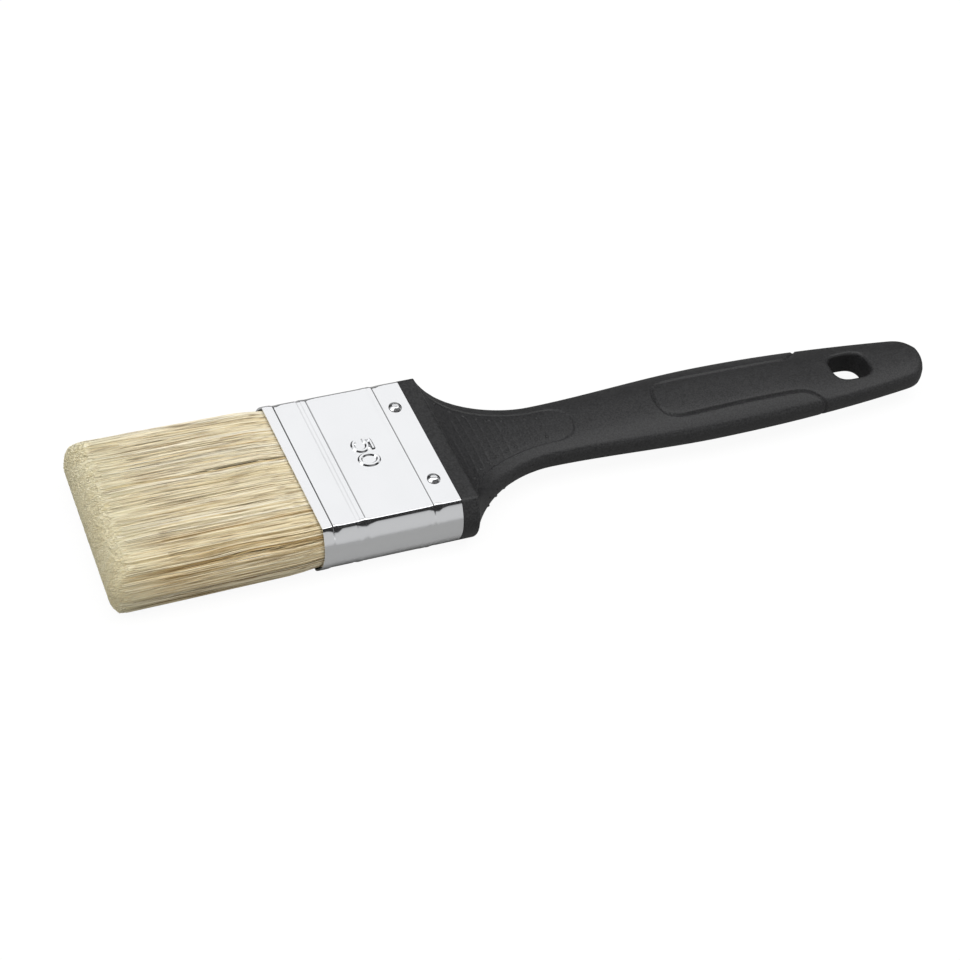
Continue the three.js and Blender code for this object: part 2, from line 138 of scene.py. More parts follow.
def fold(start: Point, tip: Point, end: Point, count: int) -> list[Point]:
    """A corner cut off by a narrow flat, with a tight fold at each side of it.

    Args:
        start: where the corner leaves the side.
        tip: the sharp corner that the flat cuts off.
        end: where the corner meets the face.
        count: number of points, which is a multiple of 4 and 1 more.

    Returns:
        Points from just after start to end.
    """
    cuts = [tuple(mix(a, b, 0.5) for a, b in zip(one, tip)) for one in (start, end)]
    fold_steps = (count - 1) // 2
    points = []
    for before, cut, after in ((start, cuts[0], cuts[1]), (cuts[0], cuts[1], end)):
        into = tuple(mix(a, b, FOLD_REACH) for a, b in zip(cut, before))
        out_of = tuple(mix(a, b, FOLD_REACH) for a, b in zip(cut, after))
        points += bend(into, cut, out_of, fold_steps - 1)
    return [*points, end]


# ---------------------------------------------------------------- the shared cross-section

FERRULE_WIDTH = 50.4
FERRULE_THICKNESS = 15.0
FERRULE_LENGTH = 37.2
FERRULE_WALL = 0.4
FIT_CLEARANCE = 0.3
SEAT_GAP = 0.15
SIDE_BULGE = 3.7
CROWN_POWER = 2.5
INSIDE = -(FERRULE_WALL + FIT_CLEARANCE)
FACE_Z = FERRULE_THICKNESS / 2
FERRULE_EDGE = -SEAT_GAP
MOUTH = -FERRULE_LENGTH


@dataclass(frozen=True)
class Section:
    """The brush cut across: two crowned broad faces and two bulged narrow sides.

    Attributes:
        half_width: from the middle to the bulge of a side, in mm.
        half_thickness: from the middle to the crown of a face, in mm.
        edge_height: height of the corners, in mm.
        bulge: how far a side stands out past the corners, in mm.
        round_off: how far the soft corner reaches down the side, in mm.
        inset: how far it reaches into the face, the same as round_off if not given.
        folded: whether the corner is a narrow flat between two folds, as in pressed sheet.
    """

    half_width: float
    half_thickness: float
    edge_height: float
    bulge: float
    round_off: float
    inset: float | None = None
    folded: bool = False

    @property
    def corner_y(self) -> float:
        """Where the face would meet the side if the corner weren't soft."""
        return self.half_width - self.bulge

    @property
    def face_reach(self) -> float:
        """How far the face goes before the soft corner starts."""
        return self.corner_y - (self.round_off if self.inset is None else self.inset)

    def side_y(self, z: float) -> float:
        """The side's y at a height."""
        return self.half_width - self.bulge * (z / self.edge_height) ** 2

    def face_z(self, y: float) -> float:
        """The face's height at a place across the brush."""
        share = min(abs(y) / self.corner_y, 1.0)
        return mix(self.edge_height, self.half_thickness, 1 - share**CROWN_POWER)

    def quarter(self, face_ys: list[float], side_steps: int, corner_steps: int) -> list[Point]:
        """The quarter from the side's middle to the face's middle.

        Args:
            face_ys: places across the face, from face_reach down to 0.
            side_steps: number of steps up the side.
            corner_steps: number of steps round the soft corner.

        Returns:
            Points (y, z) with both positive.
        """
        side_top = self.edge_height - min(self.round_off, self.edge_height * 0.8)
        low = (self.side_y(side_top), side_top)
        high = (self.face_reach, self.face_z(self.face_reach))
        tip = (self.corner_y, self.edge_height)
        side = [(self.side_y(z), z) for z in steps(0, side_top, side_steps)]
        if self.folded:
            corner = fold(low, tip, high, corner_steps)
        else:
            corner = bend(low, tip, high, corner_steps)[1:]
        return side + corner + [(y, self.face_z(y)) for y in face_ys[1:]]

    def ring(self, face_ys: list[float], side_steps: int, corner_steps: int) -> list[Point]:
        """The whole closed outline, counted from one side's middle round to it again.

        Args:
            face_ys: places across the face, from face_reach down to 0.
            side_steps: number of steps up a side.
            corner_steps: number of steps round a soft corner.

        Returns:
            Points (y, z) in order round the section.
        """
        part = self.quarter(face_ys, side_steps, corner_steps)
        upper = part + [(-y, z) for y, z in reversed(part[:-1])]
        return upper + [(y, -z) for y, z in reversed(upper[1:-1])]


def ferrule_section(
    offset: float,
    side_offset: float | None = None,
    rounding: float = COLLAR_ROUND,
    inset: float | None = None,
    folded: bool = False,
) -> Section:
    """The ferrule's own section, moved in or out.

    Args:
        offset: how far out of the ferrule's broad faces, in mm.
        side_offset: how far out of its sides, the same as offset if not given.
        rounding: reach of the soft corner at no offset, in mm.
        inset: its reach into the face, if that differs.
        folded: whether the corner is a narrow flat between two folds.

    Returns:
        The section.
    """
    aside = offset if side_offset is None else side_offset
    half = FACE_Z + offset
    return Section(
        half_width=FERRULE_WIDTH / 2 + aside,
        half_thickness=half,
        edge_height=half,
        bulge=SIDE_BULGE + aside - offset,
        round_off=max(rounding + offset, LEAST_ROUND),
        inset=inset,
        folded=folded,
    )


# ---------------------------------------------------------------- mesh work


class Skin:
    """A tube of faces that grows ring by ring along x, each ring an extrusion of the last."""

    def __init__(self, x: float, points: list[Point]) -> None:
        """Starts the skin with its first ring, which stays open."""
        self.mesh = bmesh.new()
        self.place = self.mesh.verts.layers.int.new("place")
        bmesh.ops.create_circle(self.mesh, cap_ends=False, segments=len(points), radius=1.0)
        self.mesh.verts.ensure_lookup_table()
        for index, vert in enumerate(self.mesh.verts):
            vert[self.place] = index
        self.first = list(self.mesh.edges)
        self.last = list(self.mesh.edges)
        self._lay(self.mesh.verts, x, points)

    def _lay(self, verts: Iterable[BMVert], x: float, points: list[Point]) -> None:
        """Moves a ring's vertices to their places."""
        for vert in verts:
            y, z = points[vert[self.place]]
            vert.co = (x, y, z)

    def grow(self, x: float, points: list[Point]) -> None:
        """Extrudes the last ring to a new x and outline."""
        made = bmesh.ops.extrude_edge_only(self.mesh, edges=self.last)["geom"]
        verts = {part for part in made if isinstance(part, BMVert)}
        self._lay(verts, x, points)
        self.last = [
            part
            for part in made
            if isinstance(part, BMEdge) and all(vert in verts for vert in part.verts)
        ]

    def close_ends(self) -> None:
        """Closes both open ends with a face."""
        bmesh.ops.edgeloop_fill(self.mesh, edges=self.first)
        bmesh.ops.edgeloop_fill(self.mesh, edges=self.last)

    def close_round(self) -> None:
        """Joins the last ring back to the first, for a tube with a wall."""
        bmesh.ops.bridge_loops(self.mesh, edges=self.first + self.last)


@dataclass(frozen=True)
class Placement:
    """Where the build frame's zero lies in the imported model's frame, in metres."""

    zero: Vector

    @classmethod
    def from_frame(cls) -> "Placement":
        """Finds the zero from the ferrule's box: its handle edge, and the middle of its height."""
        low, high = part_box("ferrule")
        return cls(Vector((high.x - FERRULE_EDGE * MM, 0.0, (low.z + high.z) / 2)))

    @property
    def matrix(self) -> Matrix:
        """Build millimetres to model metres."""
        return Matrix.Translation(self.zero) @ Matrix.Scale(MM, 4)


def place_object(name: str, data: ID) -> Object:
    """A new object in the scene."""
    made = bpy.data.objects.new(name, data)
    bpy.context.scene.collection.objects.link(made)
    return made


def mesh_object(name: str, mesh: BMesh) -> Object:
    """A new object in the scene from a bmesh, which is used up."""
    data = bpy.data.meshes.new(name)
    mesh.to_mesh(data)
    mesh.free()
    return place_object(name, data)


@dataclass
class Workshop:
    """Turns finished bmeshes into pieces of the brush."""

    placement: Placement

    def piece(
        self,
        name: str,
        mesh: BMesh,
        material: Material,
        replaces: tuple[str, ...] = (),
        turn_faces: bool = True,
    ) -> None:
        """Makes a piece that rides on the brush.

        Args:
            name: the piece's name.
            mesh: its bmesh in build millimetres, which is used up.
            material: what it is made of.
            replaces: the CAD nodes that it stands for.
            turn_faces: whether the faces still have to be turned outwards.
        """
        bmesh.ops.transform(mesh, matrix=self.placement.matrix, verts=mesh.verts)
        if turn_faces:
            bmesh.ops.recalc_face_normals(mesh, faces=mesh.faces)
        for face in mesh.faces:
            face.smooth = True
        for edge in mesh.edges:
            if edge.is_manifold and edge.calc_face_angle() > SHARP_ANGLE:
                edge.smooth = False
        made = mesh_object(name, mesh)
        made.data.materials.append(material)
        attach(made, "root")
        if replaces:
            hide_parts(*replaces)
        LOG.info("%s: %d faces", name, len(made.data.polygons))


# ---------------------------------------------------------------- finishes


def linear(colour: str) -> tuple[float, float, float, float]:
    """An sRGB hex colour as linear red, green, blue and a full alpha."""
    parts = [int(colour[i : i + 2], 16) / 255 for i in (1, 3, 5)]
    straight = [c / 12.92 if c <= 0.04045 else ((c + 0.055) / 1.055) ** 2.4 for c in parts]
    return (*straight, 1.0)


def add_node(
    tree: NodeTree,
    kind: str,
    inputs: dict[str | int, object] | None = None,
    **settings: object,
) -> Node:
    """Adds a node with its settings and inputs.

    Args:
        tree: the material's node tree.
        kind: the node's type.
        inputs: socket name or number to a value, or to the output that feeds it.
        settings: the node's own properties.

    Returns:
        The node.
    """
    node = tree.nodes.new(kind)
    for name, value in settings.items():
        setattr(node, name, value)
    for socket, value in (inputs or {}).items():
        if isinstance(value, NodeSocket):
            tree.links.new(value, node.inputs[socket])
        else:
            node.inputs[socket].default_value = value
    return node


@dataclass(frozen=True)
class Finish(ABC):
    """What every finish has: its name, and a material that ends in its own shader."""

    name: str

    @abstractmethod
    def shader(self, tree: NodeTree) -> Node:
        """Adds the finish's nodes to a tree and gives back the last of them."""

    def build(self) -> Material:
        """Makes the material."""
        material = bpy.data.materials.new(self.name)
        material.use_nodes = True
        tree = material.node_tree
        tree.nodes.clear()
        add_node(tree, "ShaderNodeOutputMaterial", {"Surface": self.shader(tree).outputs[0]})
        return material

    def millimetres(
        self, tree: NodeTree, stretch: tuple[float, float, float] = (1, 1, 1)
    ) -> NodeSocket:
        """Object coordinates in mm, divided by a stretch along each axis."""
        place = add_node(tree, "ShaderNodeTexCoord")
        scale = tuple(1 / (MM * s) for s in stretch)
        mapped = add_node(
            tree, "ShaderNodeMapping", {"Vector": place.outputs["Object"], "Scale": scale}
        )
        return mapped.outputs["Vector"]


@dataclass(frozen=True)
class MouldedPlastic(Finish):
    """Polypropylene moulded in a spark-eroded tool: black, satin, with a fine pebbled grain.

    The grain breaks the light on the crown into fine flecks, and its peaks are also painted paler: a
    painted highlight where the grain catches the light.
    """

    colour: str = "#171718"
    # painted highlight: the paler colour painted on the grain's peaks, where they catch the light
    paler: str = "#333334"
    grain: float = 0.45
    grain_depth: float = 0.02
    roughness: float = 0.5
    uneven: float = 0.07
    shine: float = 0.37

    def shader(self, tree: NodeTree) -> Node:
        """Adds the finish's nodes to a tree and gives back the last of them."""
        place = self.millimetres(tree)
        grain = add_node(
            tree,
            "ShaderNodeTexNoise",
            {"Vector": place, "Scale": 1 / self.grain, "Detail": 3.0, "Roughness": 0.6},
        )
        # painted highlight: the grain's peaks are painted paler, as if lit
        painted_peak_highlight = add_node(
            tree,
            "ShaderNodeMapRange",
            {"Value": grain.outputs["Fac"], "From Min": 0.35, "From Max": 0.65},
        )
        tone = add_node(
            tree,
            "ShaderNodeMix",
            {"Factor": painted_peak_highlight.outputs["Result"], 6: linear(self.colour), 7: linear(self.paler)},
            data_type="RGBA",
        )
        gloss = add_node(
            tree,
            "ShaderNodeMapRange",
            {
                "Value": grain.outputs["Fac"],
                "From Min": 0.3,
                "From Max": 0.7,
                "To Min": self.roughness - self.uneven,
                "To Max": self.roughness + self.uneven,
            },
        )
        bump = add_node(
            tree,
            "ShaderNodeBump",
            {"Height": grain.outputs["Fac"], "Strength": 0.8, "Distance": self.grain_depth * MM},
        )
        looks = {
            "Base Color": tone.outputs[2],
            "Roughness": gloss.outputs["Result"],
            "IOR": 1.49,
            "Specular IOR Level": self.shine,
            "Normal": bump.outputs["Normal"],
        }
        return add_node(tree, "ShaderNodeBsdfPrincipled", looks)


@dataclass(frozen=True)
class RolledSteel(Finish):
    """Tin-plated sheet steel, cold rolled bright: a mirror softened by faint lines of rolling.

    It reflects the studio almost whole, so flats go white and every pressed flank draws a line.
    """

    colour: str = "#e9eaec"
    roughness: float = 0.14
    uneven: float = 0.02
    line_spacing: float = 0.35
    line_depth: float = 0.0015

    def shader(self, tree: NodeTree) -> Node:
        """Adds the finish's nodes to a tree and gives back the last of them."""
        lines = add_node(
            tree,
            "ShaderNodeTexNoise",
            {
                "Vector": self.millimetres(tree, (self.line_spacing, 30, 30)),
                "Scale": 1.0,
                "Detail": 2.0,
            },
        )
        smears = add_node(
            tree,
            "ShaderNodeTexNoise",
            {"Vector": self.millimetres(tree, (9, 9, 9)), "Scale": 1.0, "Detail": 3.0},
        )
        gloss = add_node(
            tree,
            "ShaderNodeMapRange",
            {
                "Value": smears.outputs["Fac"],
                "From Min": 0.3,
                "From Max": 0.7,
                "To Min": self.roughness - self.uneven,
                "To Max": self.roughness + self.uneven,
            },
        )
        bump = add_node(
            tree,
            "ShaderNodeBump",
            {"Height": lines.outputs["Fac"], "Strength": 0.5, "Distance": self.line_depth * MM},
        )
        looks = {
            "Base Color": linear(self.colour),
            "Metallic": 1.0,
            "Roughness": gloss.outputs["Result"],
            "Normal": bump.outputs["Normal"],
        }
        return add_node(tree, "ShaderNodeBsdfPrincipled", looks)


@dataclass(frozen=True)
class CastResin(Finish):
    """Epoxy setting, poured and cured: amber brown and glossy, with clouds of a darker brown."""

    colour: str = "#8a5d27"
    darker: str = "#5c3a14"
    cloud: float = 3.0

    def shader(self, tree: NodeTree) -> Node:
        """Adds the finish's nodes to a tree and gives back the last of them."""
        clouds = add_node(
            tree,
            "ShaderNodeTexNoise",
            {"Vector": self.millimetres(tree), "Scale": 1 / self.cloud, "Detail": 4.0},
        )
        tone = add_node(
            tree,
            "ShaderNodeMix",
            {"Factor": clouds.outputs["Fac"], 6: linear(self.colour), 7: linear(self.darker)},
            data_type="RGBA",
        )
        looks = {"Base Color": tone.outputs[2], "Roughness": 0.22, "IOR": 1.55, "Coat Weight": 0.3}
        return add_node(tree, "ShaderNodeBsdfPrincipled", looks)


@dataclass(frozen=True)
class Streaked(Finish):
    """A dull finish of two tones in streaks, which stand up a little where they are darker.

    Attributes:
        colour: the lighter tone.
        darker: the darker tone.
        streak: a streak's size along the brush, across it and through it, in mm.
        detail: how many finer layers of streaks there are.
        strength: how much the streaks bend the light.
        depth: how far they stand up, in mm.
        roughness: the shader's roughness.
        ior: the shader's index of refraction.
    """

    colour: str
    darker: str
    streak: tuple[float, float, float]
    detail: float
    strength: float
    depth: float
    roughness: float
    ior: float

    def shader(self, tree: NodeTree) -> Node:
        """Adds the finish's nodes to a tree and gives back the last of them."""
        streaks = add_node(
            tree,
            "ShaderNodeTexNoise",
            {"Vector": self.millimetres(tree, self.streak), "Scale": 1.0, "Detail": self.detail},
        )
        tone = add_node(
            tree,
            "ShaderNodeMix",
            {"Factor": streaks.outputs["Fac"], 6: linear(self.colour), 7: linear(self.darker)},
            data_type="RGBA",
        )
        height = streaks.outputs["Fac"]
        raised = {"Height": height, "Strength": self.strength, "Distance": self.depth * MM}
        bump = add_node(tree, "ShaderNodeBump", raised)
        looks = {
            "Base Color": tone.outputs[2],
            "Roughness": self.roughness,
            "IOR": self.ior,
            "Normal": bump.outputs["Normal"],
        }
        return add_node(tree, "ShaderNodeBsdfPrincipled", looks)


@dataclass(frozen=True)
class PlanedWood(Streaked):
    """Poplar strip, planed and left bare: pale brown with long fine grain along the brush."""

    colour: str = "#c8a878"
    darker: str = "#9a7648"
    streak: tuple[float, float, float] = (14.0, 0.5, 0.5)
    detail: float = 4.0
    strength: float = 0.4
    depth: float = 0.05
    roughness: float = 0.75
    ior: float = 1.5


@dataclass(frozen=True)
class BristleHeartShade(Streaked):
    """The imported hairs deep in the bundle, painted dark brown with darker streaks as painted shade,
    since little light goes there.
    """

    # painted shade: the dark brown stands in for the shade deep in the bundle
    colour: str = "#6b5330"
    darker: str = "#2e2214"
    streak: tuple[float, float, float] = (20.0, 0.4, 0.4)
    detail: float = 3.0
    strength: float = 0.6
    depth: float = 0.2
    roughness: float = 0.8
    ior: float = 1.55


@dataclass(frozen=True)
class HogBristle(Finish):
    """Bleached hog bristle: each hair has its own tone, from cream to tan and a few brown ones.

    The tone comes from the hair's own attribute, darker on the near side as painted shade; brown
    streaks run along the hairs, partly their own brown and partly painted shade between clumps; and
    the flagged tips are paler and duller.
    """

    cream: str = "#fbf4df"
    straw: str = "#f5e9c6"
    tan: str = "#dbc18c"
    brown: str = "#8d6e3c"
    tip: str = "#e9e4c6"

    def shader(self, tree: NodeTree) -> Node:
        """Adds the finish's nodes to a tree and gives back the last of them."""
        tone = add_node(tree, "ShaderNodeAttribute", attribute_name="tone")
        reach = add_node(tree, "ShaderNodeAttribute", attribute_name="reach")
        ramp_node = add_node(tree, "ShaderNodeValToRGB", {"Fac": tone.outputs["Fac"]})
        stops = ((0.0, self.cream), (0.45, self.straw), (0.78, self.tan), (1.0, self.brown))
        elements = ramp_node.color_ramp.elements
        elements[1].position = 1.0
        for place, _ in stops[1:-1]:
            elements.new(place)
        for element, (place, colour) in zip(elements, stops):
            element.position = place
            element.color = linear(colour)
        along = add_node(
            tree,
            "ShaderNodeTexNoise",
            {"Vector": self.millimetres(tree, (6, 0.5, 0.5)), "Scale": 1.0, "Detail": 2.0},
        )
        mottle = add_node(
            tree,
            "ShaderNodeMapRange",
            {
                "Value": along.outputs["Fac"],
                "From Min": 0.25,
                "From Max": 0.75,
                "To Min": 0.86,
                "To Max": 1.06,
            },
        )
        shade = add_node(
            tree,
            "ShaderNodeHueSaturation",
            {"Color": ramp_node.outputs["Color"], "Value": mottle.outputs["Result"]},
        )
        pale = add_node(
            tree,
            "ShaderNodeMapRange",
            {"Value": reach.outputs["Fac"], "From Min": 0.8, "From Max": 1.0, "To Max": 0.6},
        )
        # brown streaks: partly the hairs' own brown, partly painted shade between clumps
        streaks = add_node(
            tree,
            "ShaderNodeTexNoise",
            {"Vector": self.millimetres(tree, (9, 0.35, 0.35)), "Scale": 1.0, "Detail": 3.0},
        )
        brown = add_node(
            tree,
            "ShaderNodeMapRange",
            {"Value": streaks.outputs["Fac"], "From Min": 0.52, "From Max": 0.7, "To Max": 0.8},
        )
        brown_and_shade_streaks = add_node(
            tree,
            "ShaderNodeMix",
            {"Factor": brown.outputs["Result"], 6: shade.outputs["Color"], 7: linear(self.brown)},
            data_type="RGBA",
        )
        colour = add_node(
            tree,
            "ShaderNodeMix",
            {"Factor": pale.outputs["Result"], 6: brown_and_shade_streaks.outputs[2], 7: linear(self.tip)},
            data_type="RGBA",
        )
        looks = {"Base Color": colour.outputs[2], "Roughness": 0.5, "IOR": 1.55}
        return add_node(tree, "ShaderNodeBsdfPrincipled", looks)


@dataclass(frozen=True)
class MattTable(Finish):
    """A matt table top, shown to the camera nearly as white as paper lit from behind.

    Rays that bounce off it see only its plain pale grey.
    """

    colour: str = "#a6a6a5"
    white: float = 1.2
    white_share: float = 0.78

    def shader(self, tree: NodeTree) -> Node:
        """Adds the finish's nodes to a tree and gives back the last of them."""
        matt = add_node(tree, "ShaderNodeBsdfDiffuse", {"Color": linear(self.colour)})
        paper = {"Color": (1, 1, 1, 1), "Strength": self.white}
        white = add_node(tree, "ShaderNodeEmission", paper)
        seen = add_node(tree, "ShaderNodeLightPath")
        share = add_node(
            tree,
            "ShaderNodeMath",
            {0: seen.outputs["Is Camera Ray"], 1: self.white_share},
            operation="MULTIPLY",
        )
        both = {0: share.outputs[0], 1: matt.outputs[0], 2: white.outputs[0]}
        return add_node(tree, "ShaderNodeMixShader", both)


# ---------------------------------------------------------------- handle


@dataclass(frozen=True)
class FingerPanel:
    """The sunk, finely ribbed panel of the flare, one on each broad face.

    Its outline narrows from near the collar to a rounded end on the grip.
    """

    start: float = 4.7
    outline: tuple[Point, ...] = (
        (4.7, 20.9),
        (5.7, 18.0),
        (8.1, 14.7),
        (11.3, 11.9),
        (14.5, 10.0),
        (17.8, 8.6),
        (21.1, 7.5),
        (24.4, 6.64),
        (27.6, 6.05),
        (30.8, 5.78),
        (34.0, 5.75),
    )
    end: float = 40.8
    end_squareness: float = 2.4
    depth: float = 0.3
    ledge: float = 0.3
    rib_first: float = 6.6
    rib_pitch: float = 2.35
    rib_half_width: float = 0.34
    rib_depth: float = 0.05
    rib_margin: float = 0.5
    rib_fade: float = 0.6
    ribs_end: tuple[float, float] = (2.5, 4.0)

    def half_width(self, x: float) -> float:
        """The panel's half width at x, up to where its end starts to round."""
        inside = max(self.outline[0][0], min(x, self.outline[-1][0]))
        for (x0, y0), (x1, y1) in zip(self.outline, self.outline[1:]):
            if inside <= x1:
                return mix(y0, y1, (inside - x0) / (x1 - x0))
        return self.outline[-1][1]

    def inside(self, x: float, y: float) -> float:
        """How far a place lies inside the panel's outline, in mm, below 0 outside it."""
        turn, wide = self.outline[-1]
        if x <= turn:
            steepness = math.hypot(1, slope(self.half_width, x, 0.5))
            return min(x - self.start, (self.half_width(x) - abs(y)) / steepness)
        return inside_oval((x - turn, abs(y)), (self.end - turn, wide), self.end_squareness)

    def relief(self, x: float, y: float) -> float:
        """The panel's depth at a place, in mm, as a number below 0."""
        if not self.start <= x <= self.end:
            return 0.0
        inside = self.inside(x, y)
        if inside <= 0:
            return 0.0
        nearest = (x - self.rib_first + self.rib_pitch / 2) % self.rib_pitch - self.rib_pitch / 2
        within = smooth((inside - self.rib_margin) / self.rib_fade)
        within *= ramp(x, *(self.end - left for left in self.ribs_end))
        rib = self.rib_depth * dip(nearest, self.rib_half_width) * within
        return -self.depth * smooth(inside / self.ledge) - rib

    def stations(self) -> list[float]:
        """Places along the panel where the handle's skin needs a ring."""
        places = [self.start - 0.3, self.start, *steps(self.start + 0.15, self.start + 0.6, 3)]
        rib = self.rib_first
        while rib < self.outline[-1][0] - 1:
            across = (-1.0, -0.5, 0.0, 0.5, 1.0, 2.0)
            places += [rib + t * self.rib_half_width for t in across]
            rib += self.rib_pitch
        return places + steps(rib, self.end + 0.3, 34)


@dataclass(frozen=True)
class GripGroove:
    """The U-shaped groove round the grip's thumb rest, which runs out over the handle's sides."""

    half_width: float = 0.6
    depth: float = 0.45
    left_end: float = 64.7
    turn_in: float = 71.5
    straight_from: float = 92.0
    near_turn: float = 6.3
    along: float = 6.0
    turn_out: float = 104.6
    out_length: float = 8.0
    out_reach: float = 5.0
    out_power: float = 2.3
    end_squareness: float = 2.5

    def line_y(self, x: float) -> float:
        """The groove's distance from the middle line, right of its rounded end."""
        if x <= self.turn_out:
            return mix(self.near_turn, self.along, ramp(x, self.turn_in, self.straight_from))
        return self.along + self.out_reach * ((x - self.turn_out) / self.out_length) ** self.out_power

    def distance(self, x: float, y: float) -> float:
        """How far a place lies from the groove's middle line, in mm."""
        if x >= self.turn_in:
            return (abs(y) - self.line_y(x)) / math.hypot(1, slope(self.line_y, x, 0.05))
        half = (self.turn_in - self.left_end, self.near_turn)
        return -inside_oval((self.turn_in - x, abs(y)), half, self.end_squareness)

    def relief(self, x: float, y: float) -> float:
        """The groove's depth at a place, in mm, as a number below 0."""
        if not self.left_end - 2 <= x <= self.turn_out + self.out_length + 3:
            return 0.0
        return -self.depth * dip(self.distance(x, y), self.half_width)

    def stations(self) -> list[float]:
        """Places along the groove where the handle's skin needs a ring."""
        end = steps(self.left_end - 0.6, self.turn_in, 36)
        straight = steps(self.turn_in, self.turn_out, 22)[1:-1]
        out = steps(self.turn_out, self.turn_out + self.out_length + 2, 50)
        return end + straight + out


@dataclass
class Handle:
    """The moulded handle: tang, collar, flare with ribbed panels, grip, and tail with its hole."""

    length: float = 145.8
    tang_length: float = 16.0
    tang_lead_in: float = 1.2
    collar_length: float = 4.4
    shoulder: float = 0.85
    width_power: float = 1.9
    thickness_power: float = 2.6
    corner_power: float = 5.0
    neck_at: float = 32.0
    neck_width: float = 18.5
    neck_thickness: float = 8.3
    belly_at: float = 81.0
    belly_width: float = 22.7
    belly_thickness: float = 10.8
    tail_at: float = 122.0
    tail_thickness: float = 8.2
    thinning_length: float = 25.0
    end_width: float = 13.6
    end_round: float = 6.5
    end_squareness: float = 3.0
    end_thinning: float = 0.88
    tail_drop: float = 0.5
    edge_height: float = 2.5
    edge_bulge: float = 0.5
    edge_round: float = 0.8
    hole_from_end: float = 21.9
    hole_length: float = 11.2
    hole_width: float = 8.8
    hole_squareness: float = 3.0
    hole_rim: float = 1.1
    hole_rim_turn: float = 80.0
    hole_overshoot: float = 0.6
    hole_widening: float = 1.15
    hole_turns: int = 72
    dots_from: float = 7.2
    dots_to: float = 34.0
    dot_radius: float = 0.48
    dot_height: float = 0.2
    dot_sunk: float = 0.11
    dot_pitch: float = 3.1
    dot_inset: float = 2.3
    flank_dot_shift: float = 3.0
    flank_dot_share: float = 0.4
    least_step: float = 0.04
    close_reach: float = 0.6
    close_to_groove: float = 60.0
    side_steps: int = 5
    corner_steps: int = 6
    panel: FingerPanel = FingerPanel()
    groove: GripGroove = GripGroove()

    @property
    def hole_at(self) -> float:
        """The hanging hole's middle."""
        return self.length - self.hole_from_end

    def flare(self, x: float) -> float:
        """1 at the collar, falling to 0 at the neck."""
        share = clamp01((x - self.collar_length) / (self.neck_at - self.collar_length))
        return 1 - share**self.shoulder

    def end_share(self, x: float) -> float:
        """The width left at x by the rounding of the handle's end."""
        t = clamp01((x - (self.length - self.end_round)) / self.end_round)
        return (1 - t**self.end_squareness) ** (1 / self.end_squareness)

    def grip_half_width(self, x: float) -> float:
        """Half the grip's width."""
        if x <= self.belly_at:
            return mix(self.neck_width, self.belly_width, ramp(x, self.neck_at, self.belly_at)) / 2
        share = (x - self.belly_at) / (self.length - self.belly_at)
        return mix(self.belly_width, self.end_width, share**2) / 2

    def grip_half_thickness(self, x: float) -> float:
        """Half the grip's thickness."""
        swell = ramp(x, self.neck_at, self.belly_at)
        thinning = ramp(x, self.tail_at - self.thinning_length, self.tail_at)
        belly = mix(self.neck_thickness, self.belly_thickness, swell)
        return mix(belly, self.tail_thickness, thinning) / 2

    def drop(self, x: float) -> float:
        """How far the tail bends below the middle plane, as a number below 0."""
        return -self.tail_drop * ramp(x, self.belly_at, self.length)

    def section(self, x: float) -> Section:
        """The plain section at x, before its panels and grooves."""
        flare = self.flare(x)
        rounding = self.end_share(x)
        thin = mix(self.end_thinning, 1, rounding)
        thick = mix(self.grip_half_thickness(x), FACE_Z, flare**self.thickness_power)
        wide = mix(self.grip_half_width(x), FERRULE_WIDTH / 2, flare**self.width_power)
        corner = mix(self.edge_round, COLLAR_ROUND, flare**self.corner_power)
        return Section(
            half_width=wide * rounding,
            half_thickness=thick * thin,
            edge_height=mix(self.edge_height, FACE_Z, flare**self.corner_power) * thin,
            bulge=mix(self.edge_bulge, SIDE_BULGE, flare**self.thickness_power) * rounding,
            round_off=corner * thin * max(rounding, 0.2),
        )

    def face_places(self, x: float, reach: float) -> list[float]:
        """Places across the face, from its reach to the middle, close together at a ledge or groove.

        Args:
            x: where along the handle.
            reach: how far the face goes.

        Returns:
            Always the same number of places.
        """
        if x < self.groove.turn_in:
            moved = ramp(x, self.panel.end, self.close_to_groove)
            feature = mix(self.panel.half_width(x), self.groove.near_turn, moved)
        else:
            feature = self.groove.line_y(x)
        near = min(self.close_reach, reach / 6)
        feature = max(2 * near, min(feature, reach - 1.5 * near))
        outer = steps(reach, feature + near, 8)
        around = steps(feature + near, feature - near, 8)[1:]
        inner = steps(feature - near, 0, 12)[1:]
        return outer + around + inner

    def ring(self, x: float) -> list[Point]:
        """The outline at x with its panel and groove sunk in and the tail's bend added."""
        section = self.section(x)
        places = self.face_places(x, section.face_reach)
        plain = section.ring(places, self.side_steps, self.corner_steps)
        count = len(plain)
        sunk = []
        for index, (y, z) in enumerate(plain):
            before, after = plain[index - 1], plain[(index + 1) % count]
            along = Vector((after[0] - before[0], after[1] - before[1]))
            out = Vector((along.y, -along.x)).normalized()
            depth = self.panel.relief(x, y) + self.groove.relief(x, y)
            sunk.append((y + out.x * depth, z + out.y * depth + self.drop(x)))
        return sunk

    def stations(self) -> list[float]:
        """Every x where the skin has a ring."""
        tail_start = self.groove.turn_out + self.groove.out_length + 2
        places = [
            *steps(0, self.collar_length, 6),
            *self.panel.stations(),
            *steps(self.panel.end + 1, self.groove.left_end - 1, 14),
            *self.groove.stations(),
            *steps(tail_start, self.length - self.end_round, 34),
            *[self.length - self.end_round * math.cos(a) for a in steps(0, math.radians(86), 18)],
        ]
        kept = [0.0]
        for place in sorted(places):
            if place - kept[-1] > self.least_step:
                kept.append(place)
        return kept

